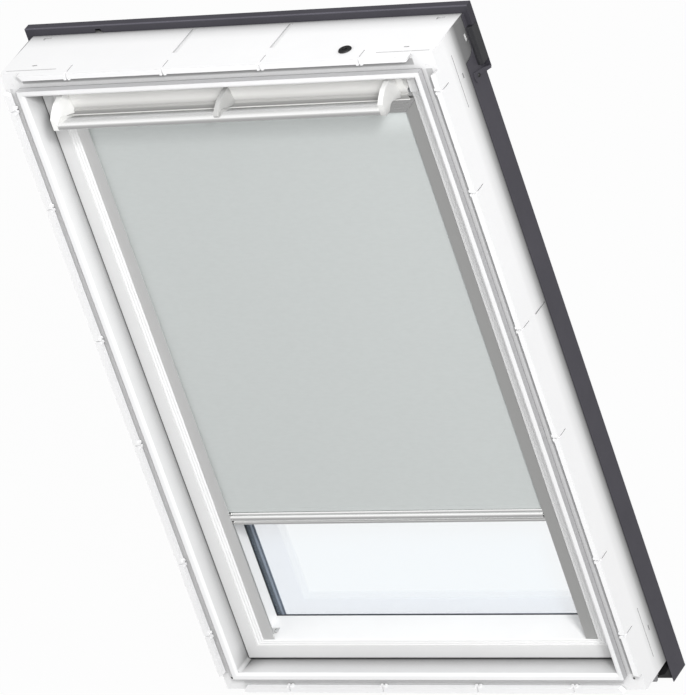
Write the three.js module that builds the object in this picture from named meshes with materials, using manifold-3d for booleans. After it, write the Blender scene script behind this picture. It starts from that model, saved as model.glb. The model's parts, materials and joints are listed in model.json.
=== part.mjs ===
// A white centre-pivot skylight window with its grey blackout roller blind.
// Lengths are in millimetres. X runs across the window, Z up along it and Y from the room outwards.
// Y is counted from the front of the frame's lip and Z from the frame's underside. The last step
// moves everything so that the origin lies on the bare strip of the underside.
import * as THREE from "three";
import { mergeVertices } from "three/addons/utils/BufferGeometryUtils.js";
import Module from "manifold-3d";

const wasm = await Module();
wasm.setup();

// Fits and cutting.
const fit = 0.3;
const overcut = 4;
const boltSegments = 20;
const roundSegments = 32;
const filletSteps = 4;

// Frame.
const frameWidth = 780;
const frameHeight = 1178;
const memberThickness = 38;
const lipWidth = 11;
const lipRounding = 4.5;
const outerWall = 9;
const wallSetback = 1.9;
const grooveDepth = 12;
const sillFallFront = 2.5;
const sillFallBack = 8;
const wallEndInset = 37;
const wallEndUp = 31;
const wallEndChamferAcross = 6;
const wallEndChamferUp = 4;
const underStrip = 40;

// Small cuts in the frame. The shares are of half its width or of its height.
const slotWidth = 3;
const slotDepth = 5.5;
const scribeWidth = 1.4;
const scribeDepth = 2;
const scribeEnd = 30;
const slotAcrossShares = [0.2256, 0.6769];
const slotUpShares = [0.0942, 0.2156, 0.4117, 0.5815, 0.792, 0.9457];
const cornerHoleRadius = 2.2;
const cornerHoleDepth = 6;
const cornerHoleInset = 16;
const cornerHoleUp = 22;
const topScribeFar = 101;
const topScribeNear = 8;
const topScribeDepthAt = 20;
const dashLength = 9;
const dashWidth = 3;
const topDashInset = 54;
const topDashDepthAt = 33.5;
const stripWidth = 8;
const stripFrom = 52;
const stripBackInset = 12;
const recessLength = 14;
const recessWidth = 7;
const recessDepth = 2;
const topRecessInset = 33.5;
const topRecessBackInset = 19.5;
const sideScribeDepthAt = 60.5;
const sideScribeTopFar = 127;
const sideScribeTopNear = 34.5;
const sideScribeLowNear = 30;
const sideScribeLowFar = 124;
const sideDashDepthAt = 74;
const sideDashTopInset = 78.5;
const sideDashLow = 77;
const sideRecessBackInset = 22;
const sideRecessTopInset = 35;
const ribFrom = 52.5;
const ribReach = 35.5;
const ribUpShare = 0.579;
const ribWidth = 3;

// Cable bushing in the top of the frame.
const bushingAcrossShare = 0.5846;
const bushingDepthAt = 32.7;
const bushingFlangeRadius = 11;
const bushingFlangeHeight = 2;
const bushingPlugRadius = 8;
const bushingPlugLength = 14;
const bushingBoreRadius = 4;
const cableHoleDepth = 22;

// Outer cladding.
const sheet = 1.5;
const flangeReach = 44.4;
const flangeCurveDrop = 68;
const flangeCurveRise = 12;
const flangeCurveBack = 28;
const claddingBelow = 41;
const claddingOverlap = 38;
const sillCladdingTop = 26;
const dripHem = 6;
const hoodOverhang = 10.6;
const hoodFrontSetback = 9;
const hoodBackReach = 5.5;
const hoodRise = 13.6;
const hoodSideDrop = 21;
const hoodNotchAcrossShare = 0.682;
const hoodNotchWidth = 18;
const hoodNotchHeight = 7;
const hoodCoverDrop = 102;
const hoodArchDrop = 72;
const hoodCoverInset = 45;
const hoodEndDrop = 87;
const hoodEndReach = 17;
const clipFrontReach = 38.8;
const clipDrop = 98.8;
const clipHeight = 18;
const clipRun = 47;
const clipTail = 3;
const clipScrewRadius = 3.4;
const clipScrewHeight = 1.4;
const clipScrewBack = 13.2;
const clipScrewDrop = 0.7;
const apronFrom = 58;
const apronBackInset = 2;
const apronTop = 14.8;
const apronBottom = 34;
const apronWebDrop = 5;
const apronWebBackInset = 44;
const sealFrom = 44;
const sealTo = 62;
const sealBulbRadius = 4.6;
const sealBore = 2.4;
const sealFoot = 2;

// Sash.
const sashGap = 2;
const sashFront = 44;
const sashBackSetback = 6.7;
const stileFlat = 23;
const ridgeBandAcross = 16;
const ridgeBandUp = 12;
const ridgeCount = 3;
const ridgeDepth = 1.4;
const railSlope = 7.7;
const glazingShoulder = 11.5;
const paneThickness = 4;
const paneGap = 16;
const paneEmbed = 14;
const paneEmbedLow = 25;
const paneClearance = 0.5;
const gasketThickness = 2.5;
const gasketWidth = 9;
const spacerWidth = 8;
const spacerInset = 1.5;
const spacerInsetLow = 15.5;
const topRailFront = 46;
const topRailDrop = 16;
const casingRoofHeight = 11;
const sashCoverEdge = 0.5;
const sashCoverOverlap = 2;
const sashCoverLowDrop = 17;
const pivotBeforeGlass = 5;
const pivotRadius = 7;
const hingePlateThickness = 3.4;
const hingePlateWidth = 42;
const hingePlateHeight = 150;
const hingePlateRounding = 12;
const hingeSashPlateHeight = 170;
const hingeScrewRadius = 2.2;
const hingeScrewPitch = 52;
const hingeSashScrewPitch = 62.4;
const hingeBearingLength = 5.2;
const filterSetback = 16;
const filterDepth = 20;
const filterRoom = 1;
const filterRibs = 9;
const lockWidth = 84;
const lockSetback = 13.3;
const lockDepth = 28;
const lockPocket = 14;
const lockWall = 4;
const latchWidth = 22;
const latchAxisDrop = 5;
const latchBossRadius = 6.5;
const latchNoseReach = 17;
const latchNoseWidth = 7;
const latchPinRadius = 2.4;
const strikerWidth = 52;
const strikerDepth = 22;
const strikerThickness = 2.6;
const strikerSlotWidth = 30;
const strikerSlotDepth = 9;

// Ventilation flap and control bar.
const flapOverlap = 1;
const flapTopGap = 1;
const flapHeight = 42.7;
const flapFront = 28;
const flapTuck = 5;
const flapTopRounding = 5;
const flapWall = 5;
const flapRecessFrom = 6.2;
const flapEndWall = 10;
const flapAxisRadius = 3.7;
const lugLength = 6;
const lugHalf = 3.4;
const lugPinRadius = 1.7;
const lugPinLength = 6;
const lugRoom = 5.5;
const armThickness = 9;
const armInset = 21;
const armReach = 62;
const armHeight = 49;
const middleArmThickness = 8;
const barReach = 53;
const barDepth = 18.5;
const barHeight = 14.5;
const barDrop = 43;

// Blind.
const channelDepth = 13.9;
const channelWidth = 21.2;
const channelRearWidth = 14.7;
const channelWall = 1.2;
const channelRearDrop = 5.6;
const footLength = 12;
const footHeight = 24;
const footHole = 1.8;
const casingRoof = 2.3;
const casingHeight = 34.4;
const casingFrontDrop = 11;
const casingFrontLedge = 3.4;
const casingDepth = 47.4;
const casingRoom = 1.5;
const casingRearDrop = 26;
const casingWall = 1.3;
const casingEdgeRounding = 1.6;
const casingMitreRise = 19.6;
const rollerSetback = 17;
const rollerDrop = 16.5;
const rollRadius = 11.2;
const rollThickness = 1.2;
const rollMargin = 1;
const tubeWall = 1.2;
const plugLength = 14;
const plugCollar = 1;
const plugRoom = 2.4;
const plugPinRadius = 2.8;
const plugPinReach = 3.6;
const plateInset = 6.3;
const plateThickness = 4;
const plateDrop = 9;
const fabricSetback = 5.3;
const fabricThickness = 0.4;
const fabricTopDrop = 2.5;
const blindDrop = 750;
const bottomBarHeight = 22.7;
const bottomBarSetback = 2.4;
const bottomBarDepth = 7.5;
const shoeClearance = 0.5;
const shoeRise = 3;

// Colours, as the photograph shows them.
const whitePaint = 0xf3f4f5;
const sashWhite = 0xf1f2f2;
const creamWhite = 0xe9e8e2;
const claddingGrey = 0x55545a;
const rubberBlack = 0x1c1c1e;
const gasketGrey = 0x8a8b8d;
const silver = 0xc9c9c7;
const channelSilver = 0xb4b4b0;
const fabricGrey = 0xc4c8c7;
const spacerGrey = 0x8f99a3;
const glassTint = 0xeaf3f6;
const steel = 0xb9bcc0;

// Places across, up and into the window that follow from the sizes above.
const frameHalf = frameWidth / 2;
const openingHalf = frameHalf - memberThickness;
const openingLow = memberThickness;
const openingHigh = frameHeight - memberThickness;
const wallEndAcross = frameHalf - wallEndInset;
const wallEndLow = wallEndUp;
const wallEndHigh = frameHeight - wallEndUp;
const sashHalf = openingHalf - sashGap;
const sashLow = openingLow + sashGap;
const sashHigh = openingHigh - sashGap;
const ridgeOuter = sashHalf - stileFlat;
const stileInner = ridgeOuter - ridgeBandAcross;
const ridgeLow = sashLow + stileFlat;
const railFaceLow = ridgeLow + ridgeBandUp;
const glassLow = railFaceLow + railSlope;
const flapHigh = sashHigh - flapTopGap;
const flapLow = flapHigh - flapHeight;
const flapBack = sashFront - fit;
const flapHalf = stileInner + flapOverlap;
const flapAxisDepth = flapBack - flapAxisRadius;
const flapAxisUp = flapLow + flapAxisRadius;
const topRailHigh = sashHigh - topRailDrop;
const topRailLow = flapLow - casingRoofHeight;
const channelFront = sashFront + 2 * fit;
const channelBack = channelFront + channelDepth;
const channelOuter = stileInner - fit;
const channelInner = channelOuter - channelWidth;
const channelRearInner = channelOuter - channelRearWidth;
const casingHigh = flapLow - casingRoof;
const casingLow = casingHigh - casingHeight;
const casingFrontHigh = casingHigh - casingFrontDrop;
const casingRearLow = casingHigh - casingRearDrop;
const casingStepDepth = channelFront + casingFrontLedge;
const casingBack = channelFront + casingDepth;
const topRailStepDepth = casingBack + casingRoom;
const glassFront = topRailStepDepth + glazingShoulder;
const insulatedBack = glassFront + paneThickness + paneGap;
const sashBack = insulatedBack + paneThickness + fit;
const frameDepth = sashBack + sashBackSetback;
const pivotDepth = glassFront - pivotBeforeGlass;
const pivotUp = frameHeight / 2;
const rollerDepth = channelFront + rollerSetback;
const rollerUp = casingHigh - rollerDrop;
const slotAcrossPlaces = slotAcrossShares.map((share) => share * frameHalf);
const slotUpPlaces = slotUpShares.map((share) => share * frameHeight);

// Turns a geometry into a solid of the boolean library, facing outwards.
function solidOf(geometry) {
  const bare = new THREE.BufferGeometry();
  const source = geometry.index ? geometry.toNonIndexed() : geometry;
  bare.setAttribute("position", source.getAttribute("position"));
  const merged = mergeVertices(bare, 1e-4);
  const corners = new Uint32Array(merged.index.array);
  const make = () =>
    new wasm.Manifold(
      new wasm.Mesh({
        numProp: 3,
        vertProperties: merged.attributes.position.array,
        triVerts: corners,
      }),
    );
  const first = make();
  if (first.volume() > 0) return first;
  for (let i = 0; i < corners.length; i += 3) {
    const kept = corners[i + 1];
    corners[i + 1] = corners[i + 2];
    corners[i + 2] = kept;
  }
  return make();
}

// A bar with one section all along. The section lists pairs in the plane across the bar.
function bar(section, basis, start, length, holes = []) {
  const shape = new THREE.Shape(section.map(([a, b]) => new THREE.Vector2(a, b)));
  for (const hole of holes) {
    shape.holes.push(new THREE.Path(hole.map(([a, b]) => new THREE.Vector2(a, b))));
  }
  const geometry = new THREE.ExtrudeGeometry(shape, { depth: length, bevelEnabled: false });
  geometry.applyMatrix4(basis);
  geometry.translate(...start);
  return solidOf(geometry);
}

const alongX = new THREE.Matrix4().makeBasis(
  new THREE.Vector3(0, 1, 0),
  new THREE.Vector3(0, 0, 1),
  new THREE.Vector3(1, 0, 0),
);
const alongY = new THREE.Matrix4().makeBasis(
  new THREE.Vector3(1, 0, 0),
  new THREE.Vector3(0, 0, 1),
  new THREE.Vector3(0, -1, 0),
);
const alongZ = new THREE.Matrix4();

// The section lists [y, z] pairs.
function barX(section, from, to, holes) {
  return bar(section, alongX, [from, 0, 0], to - from, holes);
}

// The section lists [x, z] pairs.
function barY(section, from, to, holes) {
  return bar(section, alongY, [0, to, 0], to - from, holes);
}

// The section lists [x, y] pairs.
function barZ(section, from, to, holes) {
  return bar(section, alongZ, [0, 0, from], to - from, holes);
}

function oblong(a0, a1, b0, b1) {
  return [
    [a0, b0],
    [a1, b0],
    [a1, b1],
    [a0, b1],
  ];
}

function block(x0, x1, y0, y1, z0, z1) {
  return barZ(oblong(Math.min(x0, x1), Math.max(x0, x1), y0, y1), z0, z1);
}

// A run of points on an arc, angles in degrees.
function arc(a, b, radius, from, to, steps) {
  const points = [];
  for (let i = 0; i <= steps; i += 1) {
    const angle = THREE.MathUtils.degToRad(from + ((to - from) * i) / steps);
    points.push([a + radius * Math.cos(angle), b + radius * Math.sin(angle)]);
  }
  return points;
}

function circle(a, b, radius, steps) {
  return arc(a, b, radius, 0, 360, steps).slice(0, -1);
}

function roundedOblong(a0, a1, b0, b1, radius, steps) {
  return [
    ...arc(a1 - radius, b1 - radius, radius, 0, 90, steps),
    ...arc(a0 + radius, b1 - radius, radius, 90, 180, steps),
    ...arc(a0 + radius, b0 + radius, radius, 180, 270, steps),
    ...arc(a1 - radius, b0 + radius, radius, 270, 360, steps),
  ];
}

// A body made of upright rectangles, one behind the other, each [y, half width, low, high].
function well(steps) {
  const spots = [];
  for (const [y, half, low, high] of steps) {
    spots.push([-half, y, low], [half, y, low], [half, y, high], [-half, y, high]);
  }
  const faces = [];
  const quad = (a, b, c, d) => faces.push(a, b, c, a, c, d);
  for (let i = 0; i + 1 < steps.length; i += 1) {
    for (let k = 0; k < 4; k += 1) {
      const n = (k + 1) % 4;
      quad(4 * i + k, 4 * i + 4 + k, 4 * i + 4 + n, 4 * i + n);
    }
  }
  const last = 4 * (steps.length - 1);
  quad(0, 1, 2, 3);
  quad(last + 3, last + 2, last + 1, last);
  const geometry = new THREE.BufferGeometry();
  geometry.setAttribute("position", new THREE.Float32BufferAttribute(spots.flat(), 3));
  geometry.setIndex(faces);
  return solidOf(geometry);
}

// A turned body. The closed profile lists [radius, distance along the axis] pairs.
function turned(profile, basis, at, segments = roundSegments) {
  const points = [...profile, profile[0]].map(([r, h]) => new THREE.Vector2(r, h));
  const geometry = new THREE.LatheGeometry(points, segments);
  geometry.applyMatrix4(basis);
  geometry.translate(...at);
  return solidOf(geometry);
}

const axisUp = new THREE.Matrix4().makeRotationX(Math.PI / 2);
const axisAcross = new THREE.Matrix4().makeRotationZ(-Math.PI / 2);
const axisAcrossBack = new THREE.Matrix4().makeRotationZ(Math.PI / 2);

function axisToSide(side) {
  return side > 0 ? axisAcross : axisAcrossBack;
}

function joined(list) {
  return list.reduce((sum, next) => sum.add(next));
}

function cut(body, list) {
  return list.reduce((rest, next) => rest.subtract(next), body);
}

// The same section on either side of the middle: the first of each pair is across.
function sided(section, side) {
  return section.map(([a, b]) => [a * side, b]);
}

const part = new THREE.Group();
part.name = "skylight_window_blind";
const originDepth = wallSetback + underStrip / 2;

function piece(name, solid, look) {
  const made = solid.getMesh();
  const spots = new Float32Array(made.numVert * 3);
  for (let i = 0; i < made.numVert; i += 1) {
    spots.set(made.vertProperties.subarray(i * made.numProp, i * made.numProp + 3), i * 3);
  }
  const geometry = new THREE.BufferGeometry();
  geometry.setAttribute("position", new THREE.BufferAttribute(spots, 3));
  geometry.setIndex(new THREE.BufferAttribute(new Uint32Array(made.triVerts), 1));
  geometry.translate(0, -originDepth, 0);
  const flat = geometry.toNonIndexed();
  flat.computeVertexNormals();
  const mesh = new THREE.Mesh(flat, new THREE.MeshStandardMaterial(look));
  mesh.name = name;
  part.add(mesh);
}

const painted = { color: whitePaint, roughness: 0.42, metalness: 0 };
const sashPaint = { color: sashWhite, roughness: 0.4, metalness: 0 };
const cream = { color: creamWhite, roughness: 0.38, metalness: 0 };
const cladding = { color: claddingGrey, roughness: 0.5, metalness: 0.4 };
const rubber = { color: rubberBlack, roughness: 0.8, metalness: 0 };
const greyRubber = { color: gasketGrey, roughness: 0.7, metalness: 0 };
const satin = { color: silver, roughness: 0.3, metalness: 0.8 };
const channelMetal = { color: channelSilver, roughness: 0.4, metalness: 0.6 };
const cloth = { color: fabricGrey, roughness: 0.9, metalness: 0 };
const spacerMetal = { color: spacerGrey, roughness: 0.5, metalness: 0.5 };
const glass = {
  color: glassTint,
  roughness: 0.05,
  metalness: 0,
  transparent: true,
  opacity: 0.25,
};
const zinc = { color: steel, roughness: 0.35, metalness: 0.9 };

const sides = [
  ["left", -1],
  ["right", 1],
];

// Frame: one ring with its lining groove, parted into four members that butt together.
const openingSteps = [
  [-overcut, openingHalf + lipRounding, openingLow - lipRounding, openingHigh + lipRounding],
];
for (const [back, depth] of arc(lipRounding, lipRounding, lipRounding, -90, -180, filletSteps)) {
  openingSteps.push([depth, openingHalf + back, openingLow - back, openingHigh + back]);
}
openingSteps.push(
  [sashFront, openingHalf, openingLow - sillFallFront, openingHigh],
  [pivotDepth, openingHalf, openingLow - sillFallBack, openingHigh],
  [frameDepth + overcut, openingHalf, openingLow - sillFallBack, openingHigh],
);
const opening = well(openingSteps);

// The same hollow, but wider than the piece that it cuts, so that only its floor and top bound it.
function widened(steps) {
  return well(steps.map(([y, half, low, high]) => [y, half + overcut, low, high]));
}

const lipOuterHalf = openingHalf + lipWidth;
const lipLow = openingLow - lipWidth;
const lipHigh = openingHigh + lipWidth;
const grooveBack = grooveDepth + overcut;
const crossWall = (low, high) =>
  barY(
    [
      [-wallEndAcross, low],
      [wallEndAcross, low],
      [wallEndAcross - wallEndChamferAcross, high],
      [wallEndChamferAcross - wallEndAcross, high],
    ],
    wallSetback,
    grooveBack,
  );
const sideWall = (side) =>
  barY(
    sided(
      [
        [frameHalf, wallEndLow],
        [frameHalf, wallEndHigh],
        [frameHalf - outerWall, wallEndHigh - wallEndChamferUp],
        [frameHalf - outerWall, wallEndLow + wallEndChamferUp],
      ],
      side,
    ),
    wallSetback,
    grooveBack,
  );
const ringBlank = joined([
  block(-frameHalf, frameHalf, grooveDepth, frameDepth, 0, frameHeight),
  block(-lipOuterHalf, lipOuterHalf, 0, grooveBack, lipLow, lipHigh),
  crossWall(0, outerWall),
  crossWall(frameHeight, frameHeight - outerWall),
  sideWall(-1),
  sideWall(1),
]);

// Cuts in the outer walls: a slot through the wall's edge and a scribed line behind it.
const frameCuts = [];
const slotBack = wallSetback + slotDepth;
const slotPlaces = slotAcrossPlaces.flatMap((across) => [-across, across]);
for (const across of slotPlaces) {
  const slotFrom = across - slotWidth / 2;
  const slotTo = across + slotWidth / 2;
  const lineFrom = across - scribeWidth / 2;
  const lineTo = across + scribeWidth / 2;
  const wallTop = frameHeight - outerWall;
  frameCuts.push(
    block(slotFrom, slotTo, -overcut, slotBack, -overcut, outerWall + fit),
    block(slotFrom, slotTo, -overcut, slotBack, wallTop - fit, frameHeight + overcut),
    block(lineFrom, lineTo, 0, scribeEnd, -overcut, scribeDepth),
    block(lineFrom, lineTo, 0, scribeEnd, frameHeight - scribeDepth, frameHeight + overcut),
  );
}
for (const [, side] of sides) {
  const innerFace = side * (frameHalf - outerWall - fit);
  const outside = side * (frameHalf + overcut);
  const shallow = side * (frameHalf - scribeDepth);
  const deeper = side * (frameHalf - recessDepth);
  for (const up of slotUpPlaces) {
    frameCuts.push(
      block(innerFace, outside, -overcut, slotBack, up - slotWidth / 2, up + slotWidth / 2),
      block(shallow, outside, 0, scribeEnd, up - scribeWidth / 2, up + scribeWidth / 2),
    );
  }
  const lineFrom = sideScribeDepthAt - scribeWidth / 2;
  const lineTo = sideScribeDepthAt + scribeWidth / 2;
  const dashFrom = sideDashDepthAt - dashWidth / 2;
  const dashTo = sideDashDepthAt + dashWidth / 2;
  frameCuts.push(
    block(
      shallow,
      outside,
      lineFrom,
      lineTo,
      frameHeight - sideScribeTopFar,
      frameHeight - sideScribeTopNear,
    ),
    block(shallow, outside, lineFrom, lineTo, sideScribeLowNear, sideScribeLowFar),
    block(
      shallow,
      outside,
      ribFrom,
      ribFrom + ribReach,
      ribUpShare * frameHeight - ribWidth / 2,
      ribUpShare * frameHeight + ribWidth / 2,
    ),
  );
  for (const up of [sideDashLow, frameHeight - sideDashTopInset]) {
    const low = up - dashLength / 2;
    frameCuts.push(block(shallow, outside, dashFrom, dashTo, low, low + dashLength));
  }
  const sideRecessDepthAt = frameDepth - sideRecessBackInset;
  const sideRecessUp = frameHeight - sideRecessTopInset;
  frameCuts.push(
    block(
      deeper,
      outside,
      sideRecessDepthAt - recessWidth / 2,
      sideRecessDepthAt + recessWidth / 2,
      sideRecessUp - recessLength / 2,
      sideRecessUp + recessLength / 2,
    ),
  );
  const topLine = frameHeight - scribeDepth;
  const top = frameHeight + overcut;
  const scribeFrom = topScribeDepthAt - scribeWidth / 2;
  const scribeTo = topScribeDepthAt + scribeWidth / 2;
  const stripNear = side * (slotAcrossPlaces[0] - stripWidth / 2);
  const stripFar = side * (slotAcrossPlaces[0] + stripWidth / 2);
  const stripTo = frameDepth - stripBackInset;
  const topScribeFrom = frameHalf - topScribeFar;
  const topScribeTo = frameHalf - topScribeNear;
  const topDashAcross = frameHalf - topDashInset;
  const topRecessAcross = frameHalf - topRecessInset;
  const topRecessDepthAt = frameDepth - topRecessBackInset;
  frameCuts.push(
    block(side * topScribeFrom, side * topScribeTo, scribeFrom, scribeTo, topLine, top),
    block(stripNear, stripFar, stripFrom, stripTo, topLine, top),
    block(
      side * (topDashAcross - dashLength / 2),
      side * (topDashAcross + dashLength / 2),
      topDashDepthAt - dashWidth / 2,
      topDashDepthAt + dashWidth / 2,
      topLine,
      top,
    ),
    block(
      side * (topRecessAcross - recessLength / 2),
      side * (topRecessAcross + recessLength / 2),
      topRecessDepthAt - recessWidth / 2,
      topRecessDepthAt + recessWidth / 2,
      frameHeight - recessDepth,
      top,
    ),
  );
  for (const up of [cornerHoleUp, frameHeight - cornerHoleUp]) {
    const hole = circle(side * (frameHalf - cornerHoleInset), up, cornerHoleRadius, boltSegments);
    frameCuts.push(barY(hole, 0, grooveDepth + cornerHoleDepth));
  }
}

// Pockets that take the hinge plates, the striker and the cable bushing.
const plateOutline = (grow, height) =>
  roundedOblong(
    pivotDepth - hingePlateWidth / 2 - grow,
    pivotDepth + hingePlateWidth / 2 + grow,
    pivotUp - height / 2 - grow,
    pivotUp + height / 2 + grow,
    hingePlateRounding,
    filletSteps,
  );
const framePocketBack = openingHalf + hingePlateThickness + 2 * fit;
for (const [, side] of sides) {
  const from = side > 0 ? openingHalf - overcut : -framePocketBack;
  const to = side > 0 ? framePocketBack : overcut - openingHalf;
  frameCuts.push(barX(plateOutline(fit, hingePlateHeight), from, to));
}
const lockFrom = sashBack - lockSetback - lockDepth;
const latchDepthAt = lockFrom + lockDepth / 2;
const strikerFrom = latchDepthAt - strikerDepth / 2;
const bushingAcross = bushingAcrossShare * frameHalf;
frameCuts.push(
  block(
    -strikerWidth / 2 - fit,
    strikerWidth / 2 + fit,
    strikerFrom - fit,
    strikerFrom + strikerDepth + fit,
    openingHigh - overcut,
    openingHigh + strikerThickness + 2 * fit,
  ),
  barZ(
    circle(bushingAcross, bushingDepthAt, bushingPlugRadius + fit, roundSegments),
    frameHeight - cableHoleDepth,
    frameHeight + overcut,
  ),
);
const far = frameHeight + overcut;
const middleUp = frameHeight / 2;
const crossMember = (low, high) => {
  const slab = block(-openingHalf, openingHalf, -overcut, frameDepth + overcut, low, high);
  return cut(ringBlank.intersect(slab), [widened(openingSteps), ...frameCuts]);
};

piece("frame_head", crossMember(middleUp, far), painted);
piece("frame_sill", crossMember(-overcut, middleUp), painted);
for (const [label, side] of sides) {
  const outside = side * (frameHalf + overcut);
  const slab = block(side * openingHalf, outside, -overcut, frameDepth + overcut, -overcut, far);
  piece("frame_jamb_" + label, cut(ringBlank.intersect(slab), [opening, ...frameCuts]), painted);
}

piece(
  "cable_bushing",
  turned(
    [
      [bushingBoreRadius, -bushingPlugLength],
      [bushingPlugRadius, -bushingPlugLength],
      [bushingPlugRadius, fit],
      [bushingFlangeRadius, fit],
      [bushingFlangeRadius - bushingFlangeHeight / 2, fit + bushingFlangeHeight],
      [bushingBoreRadius, fit + bushingFlangeHeight],
    ],
    axisUp,
    [bushingAcross, bushingDepthAt, frameHeight],
  ),
  rubber,
);

// Cladding on the outside of the frame.
const claddingFace = frameHalf + fit;
const claddingOuter = claddingFace + sheet;
const claddingRoof = frameDepth + fit;
const claddingBack = claddingRoof + sheet;
const legInner = openingHalf + fit;
const flangeFrom = frameDepth - flangeReach;
const flangeCurveUp = frameHeight - flangeCurveDrop;
for (const [label, side] of sides) {
  const flange = barZ(
    sided(
      [
        [claddingFace, flangeFrom],
        [claddingOuter, flangeFrom],
        [claddingOuter, claddingBack],
        [legInner, claddingBack],
        [legInner, claddingRoof],
        [claddingFace, claddingRoof],
      ],
      side,
    ),
    -claddingBelow,
    frameHeight,
  );
  const curve = [
    [flangeFrom - overcut, flangeCurveUp],
    ...arc(
      flangeFrom,
      flangeCurveUp + flangeCurveRise,
      flangeCurveRise,
      -90,
      0,
      filletSteps,
    ).map(([a, b]) => [
      flangeFrom + ((a - flangeFrom) * flangeCurveBack) / flangeCurveRise,
      b,
    ]),
    [flangeFrom + flangeCurveBack, frameHeight + overcut],
    [flangeFrom - overcut, frameHeight + overcut],
  ];
  const cutter =
    side > 0
      ? barX(curve, frameHalf, frameHalf + claddingOverlap)
      : barX(curve, -frameHalf - claddingOverlap, -frameHalf);
  piece("side_cladding_" + label, flange.subtract(cutter), cladding);
}

piece(
  "sill_cladding",
  barX(
    [
      [claddingRoof, sillCladdingTop],
      [claddingBack, sillCladdingTop],
      [claddingBack, -claddingBelow],
      [claddingRoof - dripHem, -claddingBelow],
      [claddingRoof - dripHem, sheet - claddingBelow],
      [claddingRoof, sheet - claddingBelow],
    ],
    -openingHalf,
    openingHalf,
  ),
  cladding,
);

const hoodHalf = frameHalf + hoodOverhang;
const hoodFront = frameDepth - hoodFrontSetback;
const hoodBack = frameDepth + hoodBackReach;
const hoodSideLow = frameHeight - hoodSideDrop;
const hoodCoverLow = frameHeight - hoodCoverDrop;
const hoodCoverArch = frameHeight - hoodArchDrop;
const hoodCoverReach = frameHalf - hoodCoverInset;
const hoodNotchAcross = hoodNotchAcrossShare * frameHalf;
const hoodEndLow = frameHeight - hoodEndDrop;
const hoodEndFrom = frameDepth - hoodEndReach;
const clipFrontDepth = frameDepth - clipFrontReach;
const clipFrontUp = frameHeight - clipDrop;
const clipScrewDepthAt = clipFrontDepth + clipScrewBack;
const clipScrewUp = clipFrontUp - clipScrewDrop;
const hoodBase = frameHeight + fit;
const hoodTop = frameHeight + hoodRise;
const hoodLowFace = hoodTop - sheet;
const hoodShell = joined([
  block(-hoodHalf, hoodHalf, hoodFront, hoodFront + sheet, hoodBase, hoodTop),
  block(-hoodHalf, hoodHalf, hoodFront, hoodBack, hoodLowFace, hoodTop),
  block(-hoodHalf, hoodHalf, hoodBack - sheet, hoodBack, hoodCoverLow, hoodTop),
  block(hoodHalf - sheet, hoodHalf, hoodFront, hoodBack, hoodSideLow, hoodTop),
  block(-hoodHalf, sheet - hoodHalf, hoodFront, hoodBack, hoodSideLow, hoodTop),
  block(claddingOuter + fit, hoodHalf, hoodFront, hoodFront + sheet, hoodSideLow, hoodTop),
  block(-hoodHalf, -claddingOuter - fit, hoodFront, hoodFront + sheet, hoodSideLow, hoodTop),
]);
piece(
  "top_hood",
  cut(hoodShell, [
    block(
      -hoodCoverReach,
      hoodCoverReach,
      hoodFront + 2 * sheet,
      hoodBack + overcut,
      hoodCoverLow - overcut,
      hoodCoverArch,
    ),
    barY(
      [
        [-hoodNotchAcross - hoodNotchWidth / 2, hoodBase - overcut],
        [-hoodNotchAcross + hoodNotchWidth / 2, hoodBase - overcut],
        [-hoodNotchAcross + hoodNotchWidth / 4, hoodBase + hoodNotchHeight],
        [-hoodNotchAcross - hoodNotchWidth / 4, hoodBase + hoodNotchHeight],
      ],
      hoodFront - overcut,
      hoodFront + 2 * sheet,
    ),
  ]),
  cladding,
);

for (const [label, side] of sides) {
  piece(
    "hood_end_" + label,
    barZ(
      sided(
        [
          [claddingOuter + fit, hoodEndFrom],
          [hoodHalf - sheet, hoodEndFrom + sheet],
          [hoodHalf, hoodEndFrom + 2 * sheet],
          [hoodHalf, hoodBack - sheet - fit],
          [claddingOuter + fit, hoodBack - sheet - fit],
        ],
        side,
      ),
      hoodEndLow,
      hoodSideLow - fit,
    ),
    rubber,
  );
  const strapInner = claddingOuter + fit;
  const strapOuter = strapInner + sheet;
  const strapBend = hoodFront;
  const strapReach = claddingBack + fit;
  const strap = barZ(
    sided(
      [
        [strapInner, clipFrontDepth],
        [strapOuter, clipFrontDepth],
        [strapOuter, strapBend],
        [hoodHalf + fit, strapReach],
        [hoodHalf + fit, hoodBack - sheet - fit],
        [strapInner, hoodBack - sheet - fit],
      ],
      side,
    ),
    clipFrontUp - clipHeight,
    clipFrontUp + clipHeight,
  );
  const strapEnd = clipFrontDepth + clipRun;
  const outline = [
    [clipFrontDepth, clipFrontUp],
    [clipFrontDepth + clipTail, clipFrontUp - clipHeight / 2],
    [strapEnd, clipFrontUp - clipTail - clipTail / 2],
    [strapEnd, clipFrontUp - clipTail / 2],
    [clipFrontDepth + clipTail, clipFrontUp + clipHeight / 2],
  ];
  const reach = side > 0 ? [frameHalf, hoodHalf + overcut] : [-hoodHalf - overcut, -frameHalf];
  const clipped = strap.intersect(barX(outline, ...reach));
  piece(
    "hood_clip_" + label,
    clipped.subtract(
      barX(
        circle(clipScrewDepthAt, clipScrewUp, clipScrewRadius / 2 + fit, boltSegments),
        ...reach,
      ),
    ),
    cladding,
  );
  piece(
    "clip_screw_" + label,
    turned(
      [
        [0, -sheet],
        [clipScrewRadius / 2, -sheet],
        [clipScrewRadius / 2, fit],
        [clipScrewRadius, fit],
        [clipScrewRadius * 0.7, fit + clipScrewHeight],
        [0, fit + clipScrewHeight],
      ],
      axisToSide(side),
      [side * strapOuter, clipScrewDepthAt, clipScrewUp],
      boltSegments,
    ),
    zinc,
  );
}

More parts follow.
